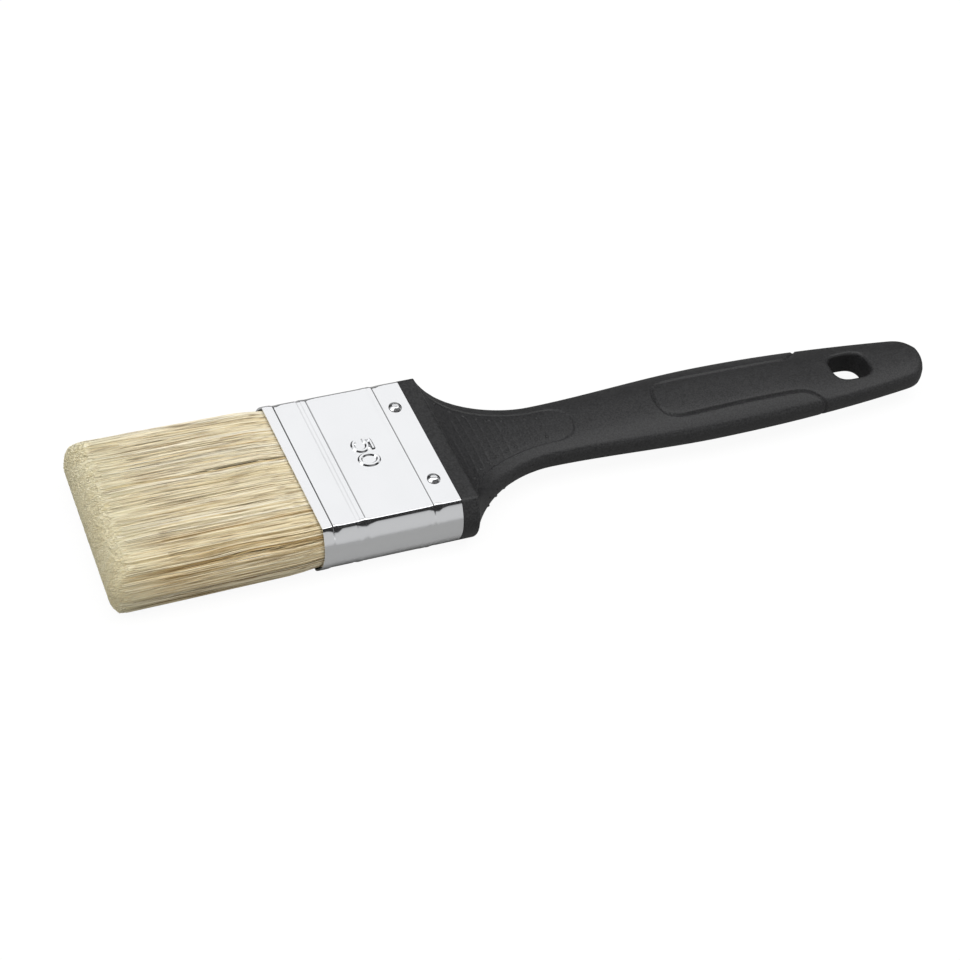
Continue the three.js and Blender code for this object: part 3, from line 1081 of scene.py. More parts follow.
    def body(self) -> BMesh:
        """Grows the tang and the handle's skin, ring by ring."""
        tang = ferrule_section(INSIDE)
        lead = ferrule_section(INSIDE - self.tang_lead_in / 2)

        def outline(section: Section) -> list[Point]:
            """A tang ring with as many points as the handle's."""
            places = self.face_places(0, section.face_reach)
            return section.ring(places, self.side_steps, self.corner_steps)

        skin = Skin(-self.tang_length, outline(lead))
        skin.grow(-self.tang_length + self.tang_lead_in, outline(tang))
        skin.grow(0, outline(tang))
        for x in self.stations():
            skin.grow(x, self.ring(x))
        skin.close_ends()
        return skin.mesh

    def hole_cutter(self) -> BMesh:
        """The solid that the hanging hole's boolean takes away, flared to a soft rim."""
        surface = self.section(self.hole_at)

        def outline(grow: float) -> list[Point]:
            """A squared oval, grown by a rim's reach."""
            power = 2 / self.hole_squareness
            long, wide = self.hole_length / 2 + grow, self.hole_width / 2 + grow
            return [
                (self.hole_at + long * squared(math.cos(a), power), wide * squared(math.sin(a), power))
                for a in steps(0, 2 * math.pi, self.hole_turns)[:-1]
            ]

        levels = [
            ((1 - math.sin(angle)) * self.hole_rim, (1 - math.cos(angle)) * self.hole_rim)
            for angle in steps(0, math.radians(self.hole_rim_turn), 7)
        ]
        levels.append((-self.hole_overshoot, self.hole_rim * self.hole_widening))
        skin = Skin(0, outline(0))
        for number, (side, (depth, grow)) in enumerate(
            [(-1, level) for level in reversed(levels)] + [(1, level) for level in levels]
        ):
            points = outline(grow)
            if number:
                skin.grow(0, points)
            for vert in {vert for edge in skin.last for vert in edge.verts}:
                x, y = points[vert[skin.place]]
                vert.co = (x, y, side * (surface.face_z(y) - depth) + self.drop(x))
        skin.close_ends()
        bmesh.ops.recalc_face_normals(skin.mesh, faces=skin.mesh.faces)
        return skin.mesh

    def dots(self) -> list[tuple[Vector, Vector]]:
        """Places and outward directions of the raised dots round the panels and on the flanks."""
        found = []
        x = self.dots_from
        while x < self.dots_to:
            y = self.panel.half_width(x) - self.dot_inset
            z = self.section(x).face_z(y) + self.panel.relief(x, y)
            beyond = x + self.flank_dot_shift
            section = self.section(beyond)
            low = section.edge_height * self.flank_dot_share
            for up in (1, -1):
                for across in (1, -1):
                    found.append((Vector((x, across * y, up * z)), Vector((0, 0, up))))
                    flank = across * (section.side_y(low) - self.dot_sunk)
                    found.append((Vector((beyond, flank, up * low)), Vector((0, across, 0))))
            x += self.dot_pitch
        return found

    def build(self, workshop: Workshop, plastic: Material) -> None:
        """Makes the handle and cuts its hanging hole."""
        mesh = self.body()
        bmesh.ops.recalc_face_normals(mesh, faces=mesh.faces)
        body = mesh_object("handle_body", mesh)
        cutter = mesh_object("hole_cutter", self.hole_cutter())
        cut = body.modifiers.new("hanging_hole", "BOOLEAN")
        cut.operation = "DIFFERENCE"
        cut.solver = "EXACT"
        cut.object = cutter
        graph = bpy.context.evaluated_depsgraph_get()
        result = bmesh.new()
        result.from_object(body, graph)
        for leftover in (body, cutter):
            bpy.data.objects.remove(leftover)
        for place, out in self.dots():
            turn = out.to_track_quat("Z", "Y").to_matrix().to_4x4()
            flat = Matrix.Diagonal((self.dot_radius, self.dot_radius, self.dot_height, 1))
            bmesh.ops.create_uvsphere(
                result,
                u_segments=8,
                v_segments=5,
                radius=1.0,
                matrix=Matrix.Translation(place) @ turn @ flat,
            )
        workshop.piece("handle_moulding", result, plastic, ("handle",), False)


# ---------------------------------------------------------------- ferrule


@dataclass(frozen=True)
class Swell:
    """One rise of the pressed band and the fall after it, along x.

    Attributes:
        height: how high it stands, as a share of the bead's height, below 0 for a sag.
        rise: where it starts to rise and where it has risen.
        fall: where it starts to fall and where it has fallen.
        start: the share of its own height that it rises from.
    """

    height: float
    rise: tuple[float, float]
    fall: tuple[float, float]
    start: float = 0.0

    def at(self, x: float) -> float:
        """Its height at x."""
        return self.height * mix(self.start, 1, ramp(x, *self.rise)) * (1 - ramp(x, *self.fall))


@dataclass
class Ferrule:
    """The pressed steel band: two broad faces, bulged sides, and three beads pressed round it.

    Attributes:
        bead_height: how far a bead stands out of the broad faces, in mm.
        side_height: how far it stands out of the sides, in mm.
        swells: what the press raises and lowers along the band.
        dents: x of the beads' middles, where they soften the corners.
        dent_tips_side: how far a dent reaches towards the bristles' tips, in mm.
        dent_handle_side: how far it reaches towards the handle, in mm.
        corner_drop: how far the plain corner reaches down the side, in mm.
        corner_inset: how far it reaches into the face, in mm.
        bead_corner_drop: how far the corner reaches down the side at a bead, in mm.
        bead_corner_inset: how far it reaches into the face there, in mm.
        stretches: where the band's rings start and end and in how many steps, closest at the beads.
        face_steps: number of steps across half a face.
        side_steps: number of steps up half a side.
        corner_steps: number of points round a corner.
    """

    bead_height: float = 0.16
    side_height: float = 0.02
    swells: tuple[Swell, ...] = (
        Swell(1.0, (MOUTH, MOUTH + 0.5), (-34.75, -34.05), 0.85),
        Swell(0.2, (-34.75, -34.05), (-34.1, -31.9)),
        Swell(-0.5, (-28.4, -27.7), (-27.5, -26.6)),
        Swell(0.75, (-27.5, -26.6), (-26.1, -25.2)),
        Swell(0.34, (-10.6, -9.5), (-9.2, -8.6)),
        Swell(0.62, (-8.8, -8.1), (-7.9, -7.2)),
    )
    dents: tuple[float, ...] = (-33.6, -25.9, -6.6)
    dent_tips_side: float = 2.6
    dent_handle_side: float = 1.8
    corner_drop: float = 1.0
    corner_inset: float = 0.4
    bead_corner_drop: float = 2.3
    bead_corner_inset: float = 0.95
    stretches: tuple[tuple[float, float, int], ...] = (
        (MOUTH, MOUTH + 0.6, 4),
        (-36.2, -31.8, 34),
        (-30.5, -29, 2),
        (-28.7, -24.9, 30),
        (-23, -11.5, 5),
        (-10.8, -5.4, 36),
        (-4, FERRULE_EDGE - 0.1, 3),
    )
    face_steps: int = 5
    side_steps: int = 9
    corner_steps: int = 9

    def press(self, x: float) -> float:
        """The outline of the pressing along the band, as a share of the bead's height."""
        return sum(swell.at(x) for swell in self.swells)

    def dented(self, x: float) -> float:
        """How much a bead softens the corner at x, widest on its tips side."""
        softest = 0.0
        for middle in self.dents:
            reach = self.dent_tips_side if x < middle else self.dent_handle_side
            softest = max(softest, smooth(1 - abs(x - middle) / reach))
        return softest

    def ring(self, x: float, offset: float) -> list[Point]:
        """The band's outline at x, moved in by a wall for its inner face."""
        press = self.press(x)
        dented = self.dented(x)
        section = ferrule_section(
            offset + self.bead_height * press,
            offset + self.side_height * press,
            mix(self.corner_drop, self.bead_corner_drop, dented),
            mix(self.corner_inset, self.bead_corner_inset, dented),
            folded=True,
        )
        places = steps(section.face_reach, 0, self.face_steps)
        return section.ring(places, self.side_steps, self.corner_steps)

    def stations(self) -> list[float]:
        """Every x where the band has a ring."""
        return [x for stretch in self.stretches for x in steps(*stretch)] + [FERRULE_EDGE]

    def build(self, workshop: Workshop, steel: Material) -> None:
        """Makes the band with its wall."""
        places = self.stations()
        skin = Skin(places[0], self.ring(places[0], 0))
        for x in places[1:]:
            skin.grow(x, self.ring(x, 0))
        for x in reversed(places):
            skin.grow(x, self.ring(x, -FERRULE_WALL))
        skin.close_round()
        workshop.piece("ferrule_shell", skin.mesh, steel, ("ferrule",))


@dataclass
class SizeMark:
    """The raised size, 50 for fifty millimetres, pressed out of the ferrule's upper face."""

    height: float = 6.0
    width: float = 4.9
    stroke: float = 1.2
    stroke_top: float = 0.5
    pitch: float = 5.0
    relief: float = 0.36
    sunk: float = 0.1
    from_edge: float = 17.3

    def zero(self) -> tuple[list[Point], bool]:
        """The zero's middle line, and that it is closed."""
        half = ((self.width - self.stroke) / 2, (self.height - self.stroke) / 2)
        around = steps(0, 2 * math.pi, 36)[:-1]
        return [(half[0] * math.cos(a), half[1] * math.sin(a)) for a in around], True

    def five(self) -> tuple[list[Point], bool]:
        """The five's middle line, and that it is open."""
        right = (self.width - self.stroke) / 2
        top = (self.height - self.stroke) / 2
        bowl = right
        middle = -top + bowl
        points = [(right - 0.1, top), (-right * 0.2, top), (-right + 0.25, top)]
        points += [(-right + 0.15, middle + bowl * 1.25), (-right + 0.1, middle + bowl * 0.75)]
        turns = steps(math.radians(128), math.radians(-150), 22)
        points += [(bowl * math.cos(a), middle + bowl * math.sin(a)) for a in turns]
        return points, False

    def build(self, workshop: Workshop, steel: Material) -> None:
        """Sweeps a flat-topped ridge along each digit's line and sinks its foot into the face."""
        mesh = bmesh.new()
        foot = self.stroke / 2 + self.sunk
        outline = bpy.data.curves.new("ridge_outline", "CURVE")
        corners = outline.splines.new("POLY")
        corners.points.add(3)
        corners.use_cyclic_u = True
        ridge = [
            (-foot, -self.sunk),
            (-self.stroke_top / 2, self.relief),
            (self.stroke_top / 2, self.relief),
            (foot, -self.sunk),
        ]
        for point, (side, up) in zip(corners.points, ridge):
            point.co = (side, up, 0, 1)
        profile = place_object("ridge_profile", outline)
        for place, (points, closed) in enumerate((self.five(), self.zero())):
            curve = bpy.data.curves.new("digit_line", "CURVE")
            curve.dimensions = "3D"
            curve.bevel_mode = "OBJECT"
            curve.bevel_object = profile
            curve.twist_mode = "Z_UP"
            curve.use_fill_caps = True
            line = curve.splines.new("POLY")
            line.points.add(len(points) - 1)
            line.use_cyclic_u = closed
            for point, (right, up) in zip(line.points, points):
                across = -(right + self.pitch * (place - 0.5))
                point.co = (up - self.from_edge, across, FACE_Z, 1)
            bar = place_object("digit_bar", curve)
            graph = bpy.context.evaluated_depsgraph_get()
            mesh.from_mesh(bar.evaluated_get(graph).to_mesh())
            bpy.data.objects.remove(bar)
        bpy.data.objects.remove(profile)
        bmesh.ops.remove_doubles(mesh, verts=mesh.verts, dist=0.001)
        workshop.piece("size_mark", mesh, steel)


class Corner(Enum):
    """The four nails: which broad face, and which side of the middle line."""

    UPPER_LEFT = (1, 1)
    UPPER_RIGHT = (1, -1)
    LOWER_LEFT = (-1, 1)
    LOWER_RIGHT = (-1, -1)


@dataclass
class Nail:
    """A domed nail that holds the ferrule to the handle."""

    corner: Corner
    from_edge: float = 4.1
    spacing: float = 25.8
    head_radius: float = 1.7
    head_height: float = 0.8
    slope_end: Point = (1.05, 0.61)
    shoulder: Point = (0.9, 0.76)
    shank_radius: float = 0.8
    shank_length: float = 5.0
    turns: int = 40

    def build(self, workshop: Workshop, steel: Material) -> None:
        """Spins the nail's profile round its own axis."""
        facing, across = self.corner.value
        seat = FACE_Z + SEAT_GAP
        cap = bend(self.slope_end, self.shoulder, (0.0, self.head_height), 10)
        profile = [
            (0.0, seat - self.shank_length),
            (self.shank_radius * 0.4, seat - self.shank_length),
            (self.shank_radius, seat - self.shank_length + self.shank_radius),
            (self.shank_radius, seat),
            (self.head_radius, seat),
            *[(radius, seat + up) for radius, up in cap],
        ]
        mesh = bmesh.new()
        verts = [mesh.verts.new((radius, 0, z)) for radius, z in profile]
        edges = [mesh.edges.new(pair) for pair in zip(verts, verts[1:])]
        bmesh.ops.spin(
            mesh,
            geom=verts + edges,
            cent=(0, 0, 0),
            axis=(0, 0, 1),
            dvec=(0, 0, 0),
            angle=2 * math.pi,
            steps=self.turns,
            use_merge=True,
            use_duplicate=False,
        )
        bmesh.ops.remove_doubles(mesh, verts=mesh.verts, dist=0.001)
        flip = Matrix.Diagonal((1, 1, facing, 1))
        place = Matrix.Translation((-self.from_edge, across * self.spacing / 2, 0))
        bmesh.ops.transform(mesh, matrix=place @ flip, verts=mesh.verts)
        name = self.corner.name.lower()
        workshop.piece(f"nail_dome_{name}", mesh, steel, (f"nail_{name}",))


# ---------------------------------------------------------------- bristles


@dataclass
class Hair:
    """One bristle's own numbers.

    Attributes:
        across: place in the field across the brush, from -1 to 1.
        up: place in the field through its thickness, from 0 in the middle to 1 at the face.
        tone: 0 cream to 1 brown, raised on the near side as painted shade.
        sway: how far it wanders across, in mm.
        lift: how far it rises and dips, in mm.
        phase: where its waves start, in radians.
        short: how far it ends before the field's tip, in mm.
        radius: its radius at the root, in mm.
    """

    across: float
    up: float
    tone: float
    sway: float
    lift: float
    phase: float
    short: float
    radius: float


@dataclass(frozen=True)
class FaceGap:
    """A gap that opens between the bristles of a broad face.

    Attributes:
        middle: its place across the brush, in mm.
        start: x where it opens, nearest the ferrule.
        end: x where it has closed.
        opening: half its width, in mm.
    """

    middle: float
    start: float
    end: float
    opening: float


@dataclass(frozen=True)
class FlankGap:
    """A gap that opens between the bristles of the near flank.

    Attributes:
        height: its height in the row where it leaves the ferrule, in mm.
        climb: how much it climbs for each mm away from the ferrule.
        end: x where it has closed.
        opening: half its width, in mm.
    """

    height: float
    climb: float
    end: float
    opening: float


@dataclass(frozen=True)
class Tones:
    """How the bristles' tones vary across the brush, from 0 for cream to 1 for brown, with painted
    shade on the near side.

    Attributes:
        middle: the middle tone.
        streak_width: width of the streaks in which darker hairs lie together, in mm.
        streak: how much a streak changes the tone.
        broad_width: width of the broader bands, in mm.
        broad: how much a band changes the tone.
        near_painted_shade: painted shade, how much darker the hairs of the near side are made, as that
            side lies in shade.
        near_shade_from: how far from the middle the painted shade starts and where it is darkest, in
            mm.
        own: spread of the hairs' own tones.
        brown_share: share of hairs that are brown.
        browner: how much darker those are.
    """

    middle: float = 0.3
    streak_width: float = 0.9
    streak: float = 0.3
    broad_width: float = 4.5
    broad: float = 0.18
    # painted shade: how much darker the near side's hairs are made
    near_painted_shade: float = 0.16
    near_shade_from: tuple[float, float] = (6.0, 22.0)
    own: float = 0.14
    brown_share: float = 0.035
    browner: float = 0.45

    def pick(self, y: float, side: int, draw: random.Random) -> float:
        """Draws the tone of a hair at y, in the upper row (side 1) or the lower (side -1)."""
        streak = noise.noise(Vector((y / self.streak_width, side * 3.1, 0.7)))
        broad = noise.noise(Vector((y / self.broad_width, side * 7.3, 4.2)))
        # painted shade: hairs towards the near side are made darker, as that side lies in shade
        painted_near_shade = self.near_painted_shade * ramp(-y, *self.near_shade_from)
        spread = self.streak * streak + self.broad * broad
        tone = self.middle + spread + painted_near_shade + draw.gauss(0, self.own)
        if draw.random() < self.brown_share:
            tone += self.browner
        return clamp01(tone)


@dataclass
class BristleRow:
    """One row of bristles, above or below the filler strip.

    Attributes:
        side: 1 for the upper row and -1 for the lower.
    """

    side: int
    out: float = 52.6
    swell: float = 0.2
    tip_round: float = 6.0
    tip_corner: float = 4.5
    far_corner: float = 2.6
    tip_skew: float = 3.0
    root: float = 12.0
    root_depth: float = 4.0
    backing: float = 4.0
    hair_pitch: float = 0.2
    face_layers: int = 5
    hair_radius: float = 0.125
    heart_inset: float = 0.75
    heart_end: float = 12.0
    heart_power: float = 0.35
    tip_pitch: float = 0.172
    tip_radius: float = 0.13
    tip_cover: float = 2.0
    opens_over: float = 8.0
    frees_over: float = 25.0
    wave_length: float = 18.0
    shared_sway: float = 0.55
    shared_along: float = 22.0
    shared_across: float = 3.2
    own_sway: float = 0.22
    own_lift: float = 0.12
    most_lift: float = 0.05
    own_short: float = 0.7
    own_radius: tuple[float, float] = (0.75, 1.2)
    tones: Tones = Tones()
    gap_reach: float = 1.4
    gap_least_up: float = 0.3
    gap_calm: float = 0.85
    flank_depth: float = 3.2
    flank_reach: float = 1.2
    gap_opened: float = 0.35
    upper_gaps: tuple[FaceGap, ...] = (
        FaceGap(4.6, -36.5, -66, 0.42),
        FaceGap(-8.5, -46, -64, 0.2),
        FaceGap(9.5, -50, -74, 0.2),
        FaceGap(17.2, -62, -80, 0.18),
    )
    lower_gaps: tuple[FaceGap, ...] = (FaceGap(8.0, -40, -66, 0.3), FaceGap(-11.0, -37, -60, 0.3))
    flank_gaps: tuple[FlankGap, ...] = (
        FlankGap(0.0, 0.0, -62.0, 0.22),
        FlankGap(4.9, 0.05, -64.0, 0.3),
    )
    seed: int = 50

    @property
    def tips(self) -> float:
        """Where the longest bristles end."""
        return MOUTH - self.out

    def tip_x(self, y: float, z: float) -> float:
        """Where a bristle ends, by its place in the field."""
        half = FACE_Z + self.swell
        shorter = self.tip_round * (1 - math.sqrt(1 - min(1.0, z / half) ** 2))
        into = clamp01((abs(y) - FERRULE_WIDTH / 2 + self.tip_corner) / self.tip_corner)
        corner = (self.tip_corner if y < 0 else self.far_corner) * (1 - math.sqrt(1 - into**2))
        return self.tips + shorter + corner + self.tip_skew * y / FERRULE_WIDTH

    def field(self, across: float, up: float, x: float) -> Point:
        """A place in the row at x.

        Args:
            across: from -1 to 1 over the width.
            up: from 0 at the middle plane to 1 at the broad face.
            x: where along the brush.

        Returns:
            The place (y, z), with z positive for both rows.
        """
        share = clamp01((MOUTH - x) / self.out)
        opening = smooth((MOUTH + 1.0 - x) / self.opens_over)
        grown = mix(INSIDE, self.swell, mix(opening, share, 0.4))
        section = ferrule_section(grown)
        z = up * section.half_thickness
        return across * section.side_y(z), z

    def path(self, hair: Hair, x: float) -> Vector:
        """A hair's place at x, with its own sway and the waves that it shares with its neighbours."""
        y, z = self.field(hair.across, hair.up, x)
        free = smooth((MOUTH + 1 - x) / self.frees_over)
        wave = (x - MOUTH) / self.wave_length
        at = Vector((x / self.shared_along, y / self.shared_across, self.side * (2 + z / 6)))
        shared = noise.noise(at) * self.shared_sway
        moved, calm = self.part(hair, x)
        raised = self.flank_part(y, z, x)
        sway = shared + hair.sway * (1 - calm) * math.sin(wave + hair.phase)
        lift = hair.lift * math.sin(wave * 1.7 + 2 * hair.phase)
        inward_y = clamp01((abs(hair.across) - 0.9) / 0.1)
        y += moved + free * sway - math.copysign(inward_y * free * abs(sway), y)
        if hair.up > 0.85:
            z += mix(0.25, 1, free) * min(lift, self.most_lift)
        else:
            z += free * lift
        return Vector((x, y, self.side * (z + raised)))

    def flank_part(self, y: float, z: float, x: float) -> float:
        """What the gaps along the near flank do to a hair there.

        Args:
            y: the hair's place across the brush, in mm.
            z: its height in the row, in mm.
            x: where along the brush.

        Returns:
            How far the hair is pushed up or down, in mm.
        """
        raised = 0.0
        for gap in self.flank_gaps if self.side > 0 else self.flank_gaps[:1]:
            off = z - gap.height - (MOUTH - x) * gap.climb
            if y < -FERRULE_WIDTH / 2 + self.flank_depth and abs(off) < self.flank_reach:
                length = ramp(x, gap.end, mix(gap.end, MOUTH, self.gap_opened))
                length *= 1 - ramp(x, MOUTH, MOUTH + 1)
                raised += math.copysign(gap.opening * length * (1 - abs(off) / self.flank_reach), off)
        return raised

    def part(self, hair: Hair, x: float) -> tuple[float, float]:
        """What the few gaps that open in the bundle do to a hair at x.

        Args:
            hair: the hair.
            x: where along it.

        Returns:
            How far it is pushed aside, in mm, and how much of its own sway it loses.
        """
        y, _ = self.field(hair.across, hair.up, x)
        moved = calm = 0.0
        for gap in self.upper_gaps if self.side > 0 else self.lower_gaps:
            off = y - gap.middle
            length = ramp(x, gap.end, mix(gap.end, gap.start, self.gap_opened))
            length *= 1 - ramp(x, gap.start - 1, gap.start)
            if abs(off) < self.gap_reach and hair.up > self.gap_least_up:
                close = length * (1 - abs(off) / self.gap_reach)
                moved += math.copysign(gap.opening * close, off)
                calm = max(calm, self.gap_calm * close)
        return moved, calm

    def shell_hairs(self) -> list[Hair]:
        """The long hairs that make the row's broad face and its two narrow flanks."""
        draw = random.Random(self.seed + self.side)
        hairs = []
        half = FERRULE_WIDTH / 2
        for layer in range(self.face_layers):
            inset = (layer + 0.5) * self.hair_pitch
            columns = round(2 * half / self.hair_pitch)
            up = 1 - inset / FACE_Z
            for column in range(columns):
                across = 2 * (column + draw.uniform(0.1, 0.9)) / columns - 1
                hairs.append(self.hair(across * (1 - 0.4 * inset / half), up, draw, layer))
            rows = round(FACE_Z / self.hair_pitch)
            for row in range(rows):
                for across in (1, -1):
                    place = across * (1 - inset / half)
                    hairs.append(self.hair(place, (row + draw.random()) / rows * up, draw, layer))
        return hairs

    def hair(self, across: float, up: float, draw: random.Random, layer: int) -> Hair:
        """Draws one hair's own numbers."""
        return Hair(
            across=across,
            up=clamp01(up + draw.gauss(0, 0.006)),
            tone=self.tones.pick(across * FERRULE_WIDTH / 2, self.side, draw),
            sway=draw.gauss(0, self.own_sway),
            lift=draw.gauss(0, self.own_lift),
            phase=draw.uniform(0, 2 * math.pi),
            short=abs(draw.gauss(0, self.own_short)) + (layer == 0) * draw.random() * 0.5,
            radius=self.hair_radius * draw.uniform(*self.own_radius),
        )

    def tip_hairs(self) -> list[Hair]:
        """The short-shown hairs that fill the row's end, behind the long ones."""
        draw = random.Random(2 * self.seed + self.side)
        hairs = []
        columns = round(FERRULE_WIDTH / self.tip_pitch)
        rows = round(FACE_Z / self.tip_pitch)
        for row in range(rows):
            for column in range(columns):
                across = 2 * (column + draw.random()) / columns - 1
                up = (row + draw.random()) / rows
                hair = self.hair(across * 0.985, up * 0.97, draw, 1)
                hair.radius *= self.tip_radius / self.hair_radius
                hair.short *= 0.3
                hairs.append(hair)
        return hairs

    def bundle(self, hairs: list[Hair], start: float, stations: int, taper_to: float) -> BMesh:
        """Grows three-sided hairs from their roots to their tips.

        Args:
            hairs: the hairs.
            start: x of the roots.
            stations: number of steps along a hair.
            taper_to: the share of its thickness that a hair keeps at its tip.

        Returns:
            The bmesh of closed hairs.
        """
        mesh = bmesh.new()
        tone = mesh.verts.layers.float.new("tone")
        reach = mesh.verts.layers.float.new("reach")
        own = mesh.faces.layers.int.new("own")
        bmesh.ops.create_grid(mesh, x_segments=(len(hairs) + 1) // 2, y_segments=1, size=1)
        bmesh.ops.triangulate(mesh, faces=mesh.faces)
        bmesh.ops.split_edges(mesh, edges=mesh.edges)
        faces = list(mesh.faces)
        bmesh.ops.delete(mesh, geom=faces[len(hairs) :], context="FACES")
        faces = faces[: len(hairs)]
        ends = []
        for index, (face, hair) in enumerate(zip(faces, hairs)):
            face[own] = index
            y, z = self.field(hair.across, hair.up, self.tips)
            ends.append(self.tip_x(y, z) + hair.short)
            for vert in face.verts:
                vert[tone] = hair.tone
        for station in range(stations + 1):
            share = station / stations
            if station:
                faces = bmesh.ops.extrude_discrete_faces(mesh, faces=faces)["faces"]
            taper = mix(1, taper_to, share**2)
            for face in faces:
                index = face[own]
                hair = hairs[index]
                x = mix(start, ends[index], share)
                middle = self.path(hair, x)
                for corner, vert in enumerate(face.verts):
                    angle = hair.phase + corner * 2 * math.pi / 3
                    out = Vector((0, math.cos(angle), math.sin(angle)))
                    vert.co = middle + out * hair.radius * taper
                    vert[reach] = share
        roots = [edge for edge in mesh.edges if edge.is_boundary]
        bmesh.ops.holes_fill(mesh, edges=roots, sides=3)
        return mesh

    def heart(self) -> BMesh:
        """The close-packed middle of the row, which shows only through gaps."""
        def outline(x: float) -> list[Point]:
            """The row's outline at x, set in from its faces and flanks."""
            points = []
            for a in steps(0, math.pi, 48):
                across = squared(math.cos(a), self.heart_power)
                up = abs(math.sin(a)) ** self.heart_power
                y, z = self.field(across, up, x)
                inset = self.heart_inset
                y -= math.copysign(min(abs(y), inset * abs(across)), y)
                points.append((y, self.side * max(SEAT_GAP / 2, z - inset)))
            return points

        start = MOUTH + self.root + self.backing
        end = self.tips + self.heart_end
        skin = Skin(start, outline(start))
        for x in steps(start, end, 16)[1:]:
            skin.grow(x, outline(x))
        skin.close_ends()
        return skin.mesh

    def build(self, workshop: Workshop, bristle: Material, depth: Material) -> None:
        """Makes the row's heart, its long hairs and its tip hairs."""
        row = "upper" if self.side > 0 else "lower"
        # the heart takes the dark painted-shade finish, so the gaps between the hairs show painted
        # shade
        workshop.piece(
            f"bristle_heart_{row}",
            self.heart(),
            depth,
            (f"bristle_row_{row}",),
        )
        shell = self.bundle(self.shell_hairs(), MOUTH + self.root_depth, 14, 0.7)
        workshop.piece(f"bristle_hairs_{row}", shell, bristle)
        start = self.tips + self.heart_end + self.tip_cover
        ends = self.bundle(self.tip_hairs(), start, 2, 0.9)
        workshop.piece(f"bristle_tips_{row}", ends, bristle)


# ---------------------------------------------------------------- studio


@dataclass(frozen=True)
class Panel:
    """A rectangular light or white card, as it is seen from the brush.

    Attributes:
        facing: direction from the brush to the wall or ceiling that the panel hangs in.
        across: the direction in that plane that its first range counts along.
        along: the direction in that plane that its second range counts along.
        across_range: where it starts and ends, as slopes from the facing direction.
        along_range: the same along the other direction.
        blur: width of its soft edges, as a slope.
        strength: its brightness.
    """

    facing: tuple[float, float, float]
    across: tuple[float, float, float]
    along: tuple[float, float, float]
    across_range: tuple[float, float]
    along_range: tuple[float, float]
    blur: float
    strength: float

    def glow(self, tree: NodeTree, way: NodeSocket) -> NodeSocket:
        """Its light for a direction.

        Args:
            tree: the world's node tree.
            way: the direction.

        Returns:
            The socket that gives the brightness.
        """
        parts = [
            add_node(tree, "ShaderNodeVectorMath", {0: way, 1: axis}, operation="DOT_PRODUCT")
            for axis in (self.facing, self.across, self.along)
        ]
        ahead = add_node(
            tree,
            "ShaderNodeMath",
            {0: parts[0].outputs["Value"], 1: 0.01},
            operation="MAXIMUM",
        )
        light = add_node(
            tree,
            "ShaderNodeMath",
            {0: parts[0].outputs["Value"], 1: 0.0},
            operation="GREATER_THAN",
        )
        for part, (low, high) in zip(parts[1:], (self.across_range, self.along_range)):
            slope = add_node(
                tree,
                "ShaderNodeMath",
                {0: part.outputs["Value"], 1: ahead.outputs[0]},
                operation="DIVIDE",
            )
            for edge, inside in ((low, 1), (high, -1)):
                fade = add_node(
                    tree,
                    "ShaderNodeMapRange",
                    {
                        "Value": slope.outputs[0],
                        "From Min": edge - inside * self.blur / 2,
                        "From Max": edge + inside * self.blur / 2,
                    },
                    interpolation_type="SMOOTHSTEP",
                )
                light = add_node(
                    tree,
                    "ShaderNodeMath",
                    {0: light.outputs[0], 1: fade.outputs["Result"]},
                    operation="MULTIPLY",
                )
        scaled = add_node(
            tree, "ShaderNodeMath", {0: light.outputs[0], 1: self.strength}, operation="MULTIPLY"
        )
        return scaled.outputs[0]


UP = (0, 0, 1)
RIGHT, LEFT = (1, 0, 0), (-1, 0, 0)
BACK, FRONT = (0, 1, 0), (0, -1, 0)


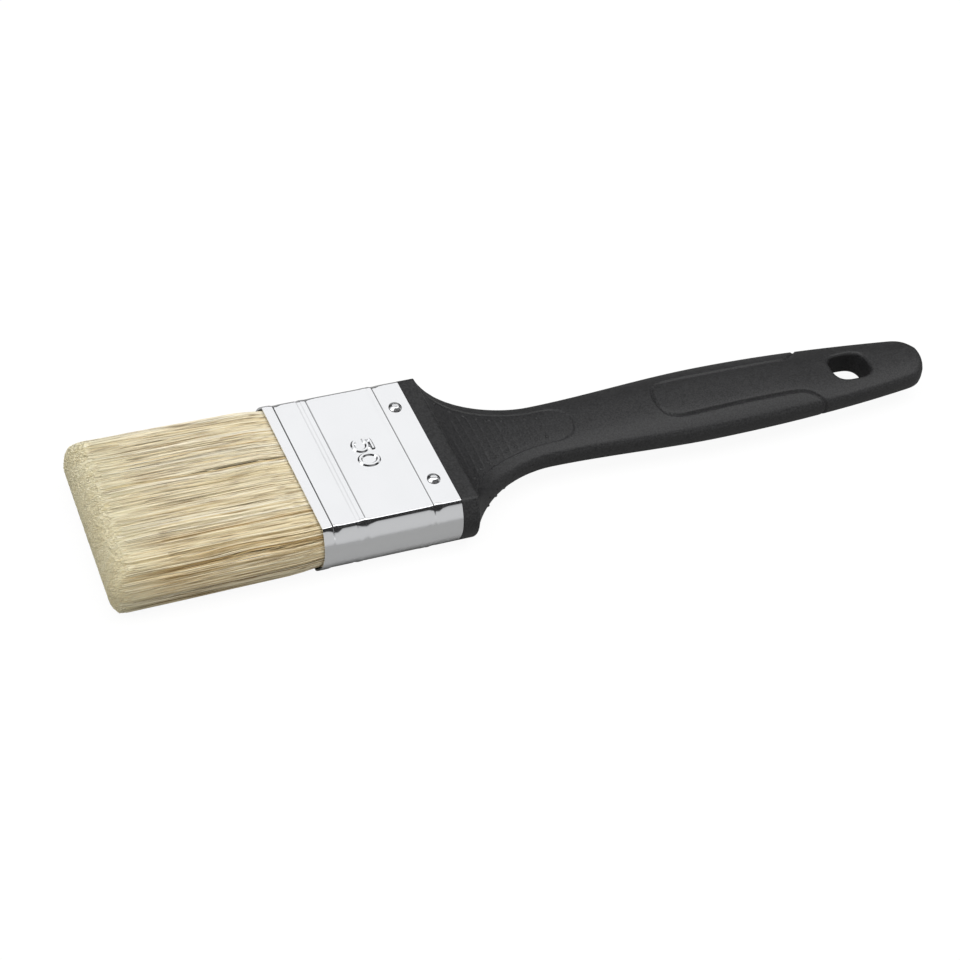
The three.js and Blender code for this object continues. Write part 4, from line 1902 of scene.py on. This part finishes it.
@dataclass
class Studio:
    """Plain pale floor, soft light from above, and the photograph's camera."""

    panels: tuple[Panel, ...] = (
        Panel(UP, RIGHT, BACK, (-0.25, 1.0), (0.57, 1.2), 0.2, 1.08),
        Panel(UP, RIGHT, BACK, (-1.7, 1.1), (-0.45, 0.3), 0.15, 2.8),
        Panel(FRONT, RIGHT, UP, (-0.6, 1.0), (-0.02, 0.8), 0.3, 0.62),
        Panel(RIGHT, BACK, UP, (-1.1, 0.1), (0.0, 0.36), 0.2, 0.75),
        Panel(LEFT, BACK, UP, (-0.8, 0.8), (0.0, 0.9), 0.3, 0.7),
        Panel(BACK, RIGHT, UP, (0.0, 0.8), (0.1, 0.5), 0.2, 0.25),
    )
    dark: float = 0.015
    floor_size: float = 60.0
    table: MattTable = MattTable("matt_white_table")
    camera_at: tuple[float, float, float] = (-288.84, -449.05, 533.07)
    camera_towards: tuple[float, float, float] = (-16.36, -10.11, 8.45)
    camera_roll: float = 12.08
    lens: float = 109.09
    sensor: float = 36.0
    clip: tuple[float, float] = (0.01, 20.0)

    def light(self) -> None:
        """Fills the world with the panels and a dark room between them and the floor."""
        world = bpy.data.worlds.new("studio")
        world.use_nodes = True
        bpy.context.scene.world = world
        tree = world.node_tree
        tree.nodes.clear()
        way = add_node(tree, "ShaderNodeTexCoord").outputs["Generated"]
        total: float | NodeSocket = self.dark
        for panel in self.panels:
            added = add_node(tree, "ShaderNodeMath", {0: panel.glow(tree, way), 1: total})
            total = added.outputs["Value"]
        back = add_node(tree, "ShaderNodeBackground", {"Color": (1, 1, 1, 1), "Strength": total})
        add_node(tree, "ShaderNodeOutputWorld", {"Surface": back.outputs[0]})

    def floor(self) -> None:
        """Lays the table under the brush."""
        mesh = bmesh.new()
        bmesh.ops.create_grid(mesh, x_segments=2, y_segments=2, size=self.floor_size / 2)
        floor = mesh_object("floor", mesh)
        floor.data.materials.append(self.table.build())

    def camera(self) -> None:
        """Stands the camera where the photograph was taken from."""
        data = bpy.data.cameras.new("camera")
        data.lens = self.lens
        data.sensor_width = self.sensor
        data.clip_start, data.clip_end = self.clip
        camera = place_object("camera", data)
        at = Vector(self.camera_at) * MM
        towards = Vector(self.camera_towards) * MM
        turn = (towards - at).to_track_quat("-Z", "Y").to_matrix().to_4x4()
        roll = Matrix.Rotation(math.radians(self.camera_roll), 4, "Z")
        camera.matrix_world = Matrix.Translation(at) @ turn @ roll
        bpy.context.scene.camera = camera

    def build(self) -> None:
        """Sets up the studio."""
        self.light()
        self.floor()
        self.camera()
        bpy.context.scene.view_settings.view_transform = "Standard"


def paint(node: str, material: Material) -> None:
    """Gives a CAD node that stays its finish."""
    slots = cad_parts[node].data.materials
    slots.clear()
    slots.append(material)
    LOG.info("%s: painted", node)


def main() -> None:
    """Builds the brush and its studio."""
    logging.basicConfig(level=logging.INFO, format="%(message)s")
    workshop = Workshop(Placement.from_frame())
    Studio().build()
    steel = RolledSteel("tin_plated_rolled_steel").build()
    nail_steel = RolledSteel("bright_nail_steel", roughness=0.24).build()
    Handle().build(workshop, MouldedPlastic("grained_black_polypropylene").build())
    Ferrule().build(workshop, steel)
    SizeMark().build(workshop, steel)
    for corner in Corner:
        Nail(corner).build(workshop, nail_steel)
    bristle = HogBristle("bleached_hog_bristle").build()
    # painted shade: the dark finish for the bristles' heart, seen through the gaps between hairs
    depth = BristleHeartShade("bristle_heart_painted_shade").build()
    for side in (1, -1):
        BristleRow(side).build(workshop, bristle, depth)
    paint("resin_set", CastResin("cast_epoxy_setting").build())
    paint("filler_strip", PlanedWood("planed_poplar").build())


if __name__ == "__main__":
    main()
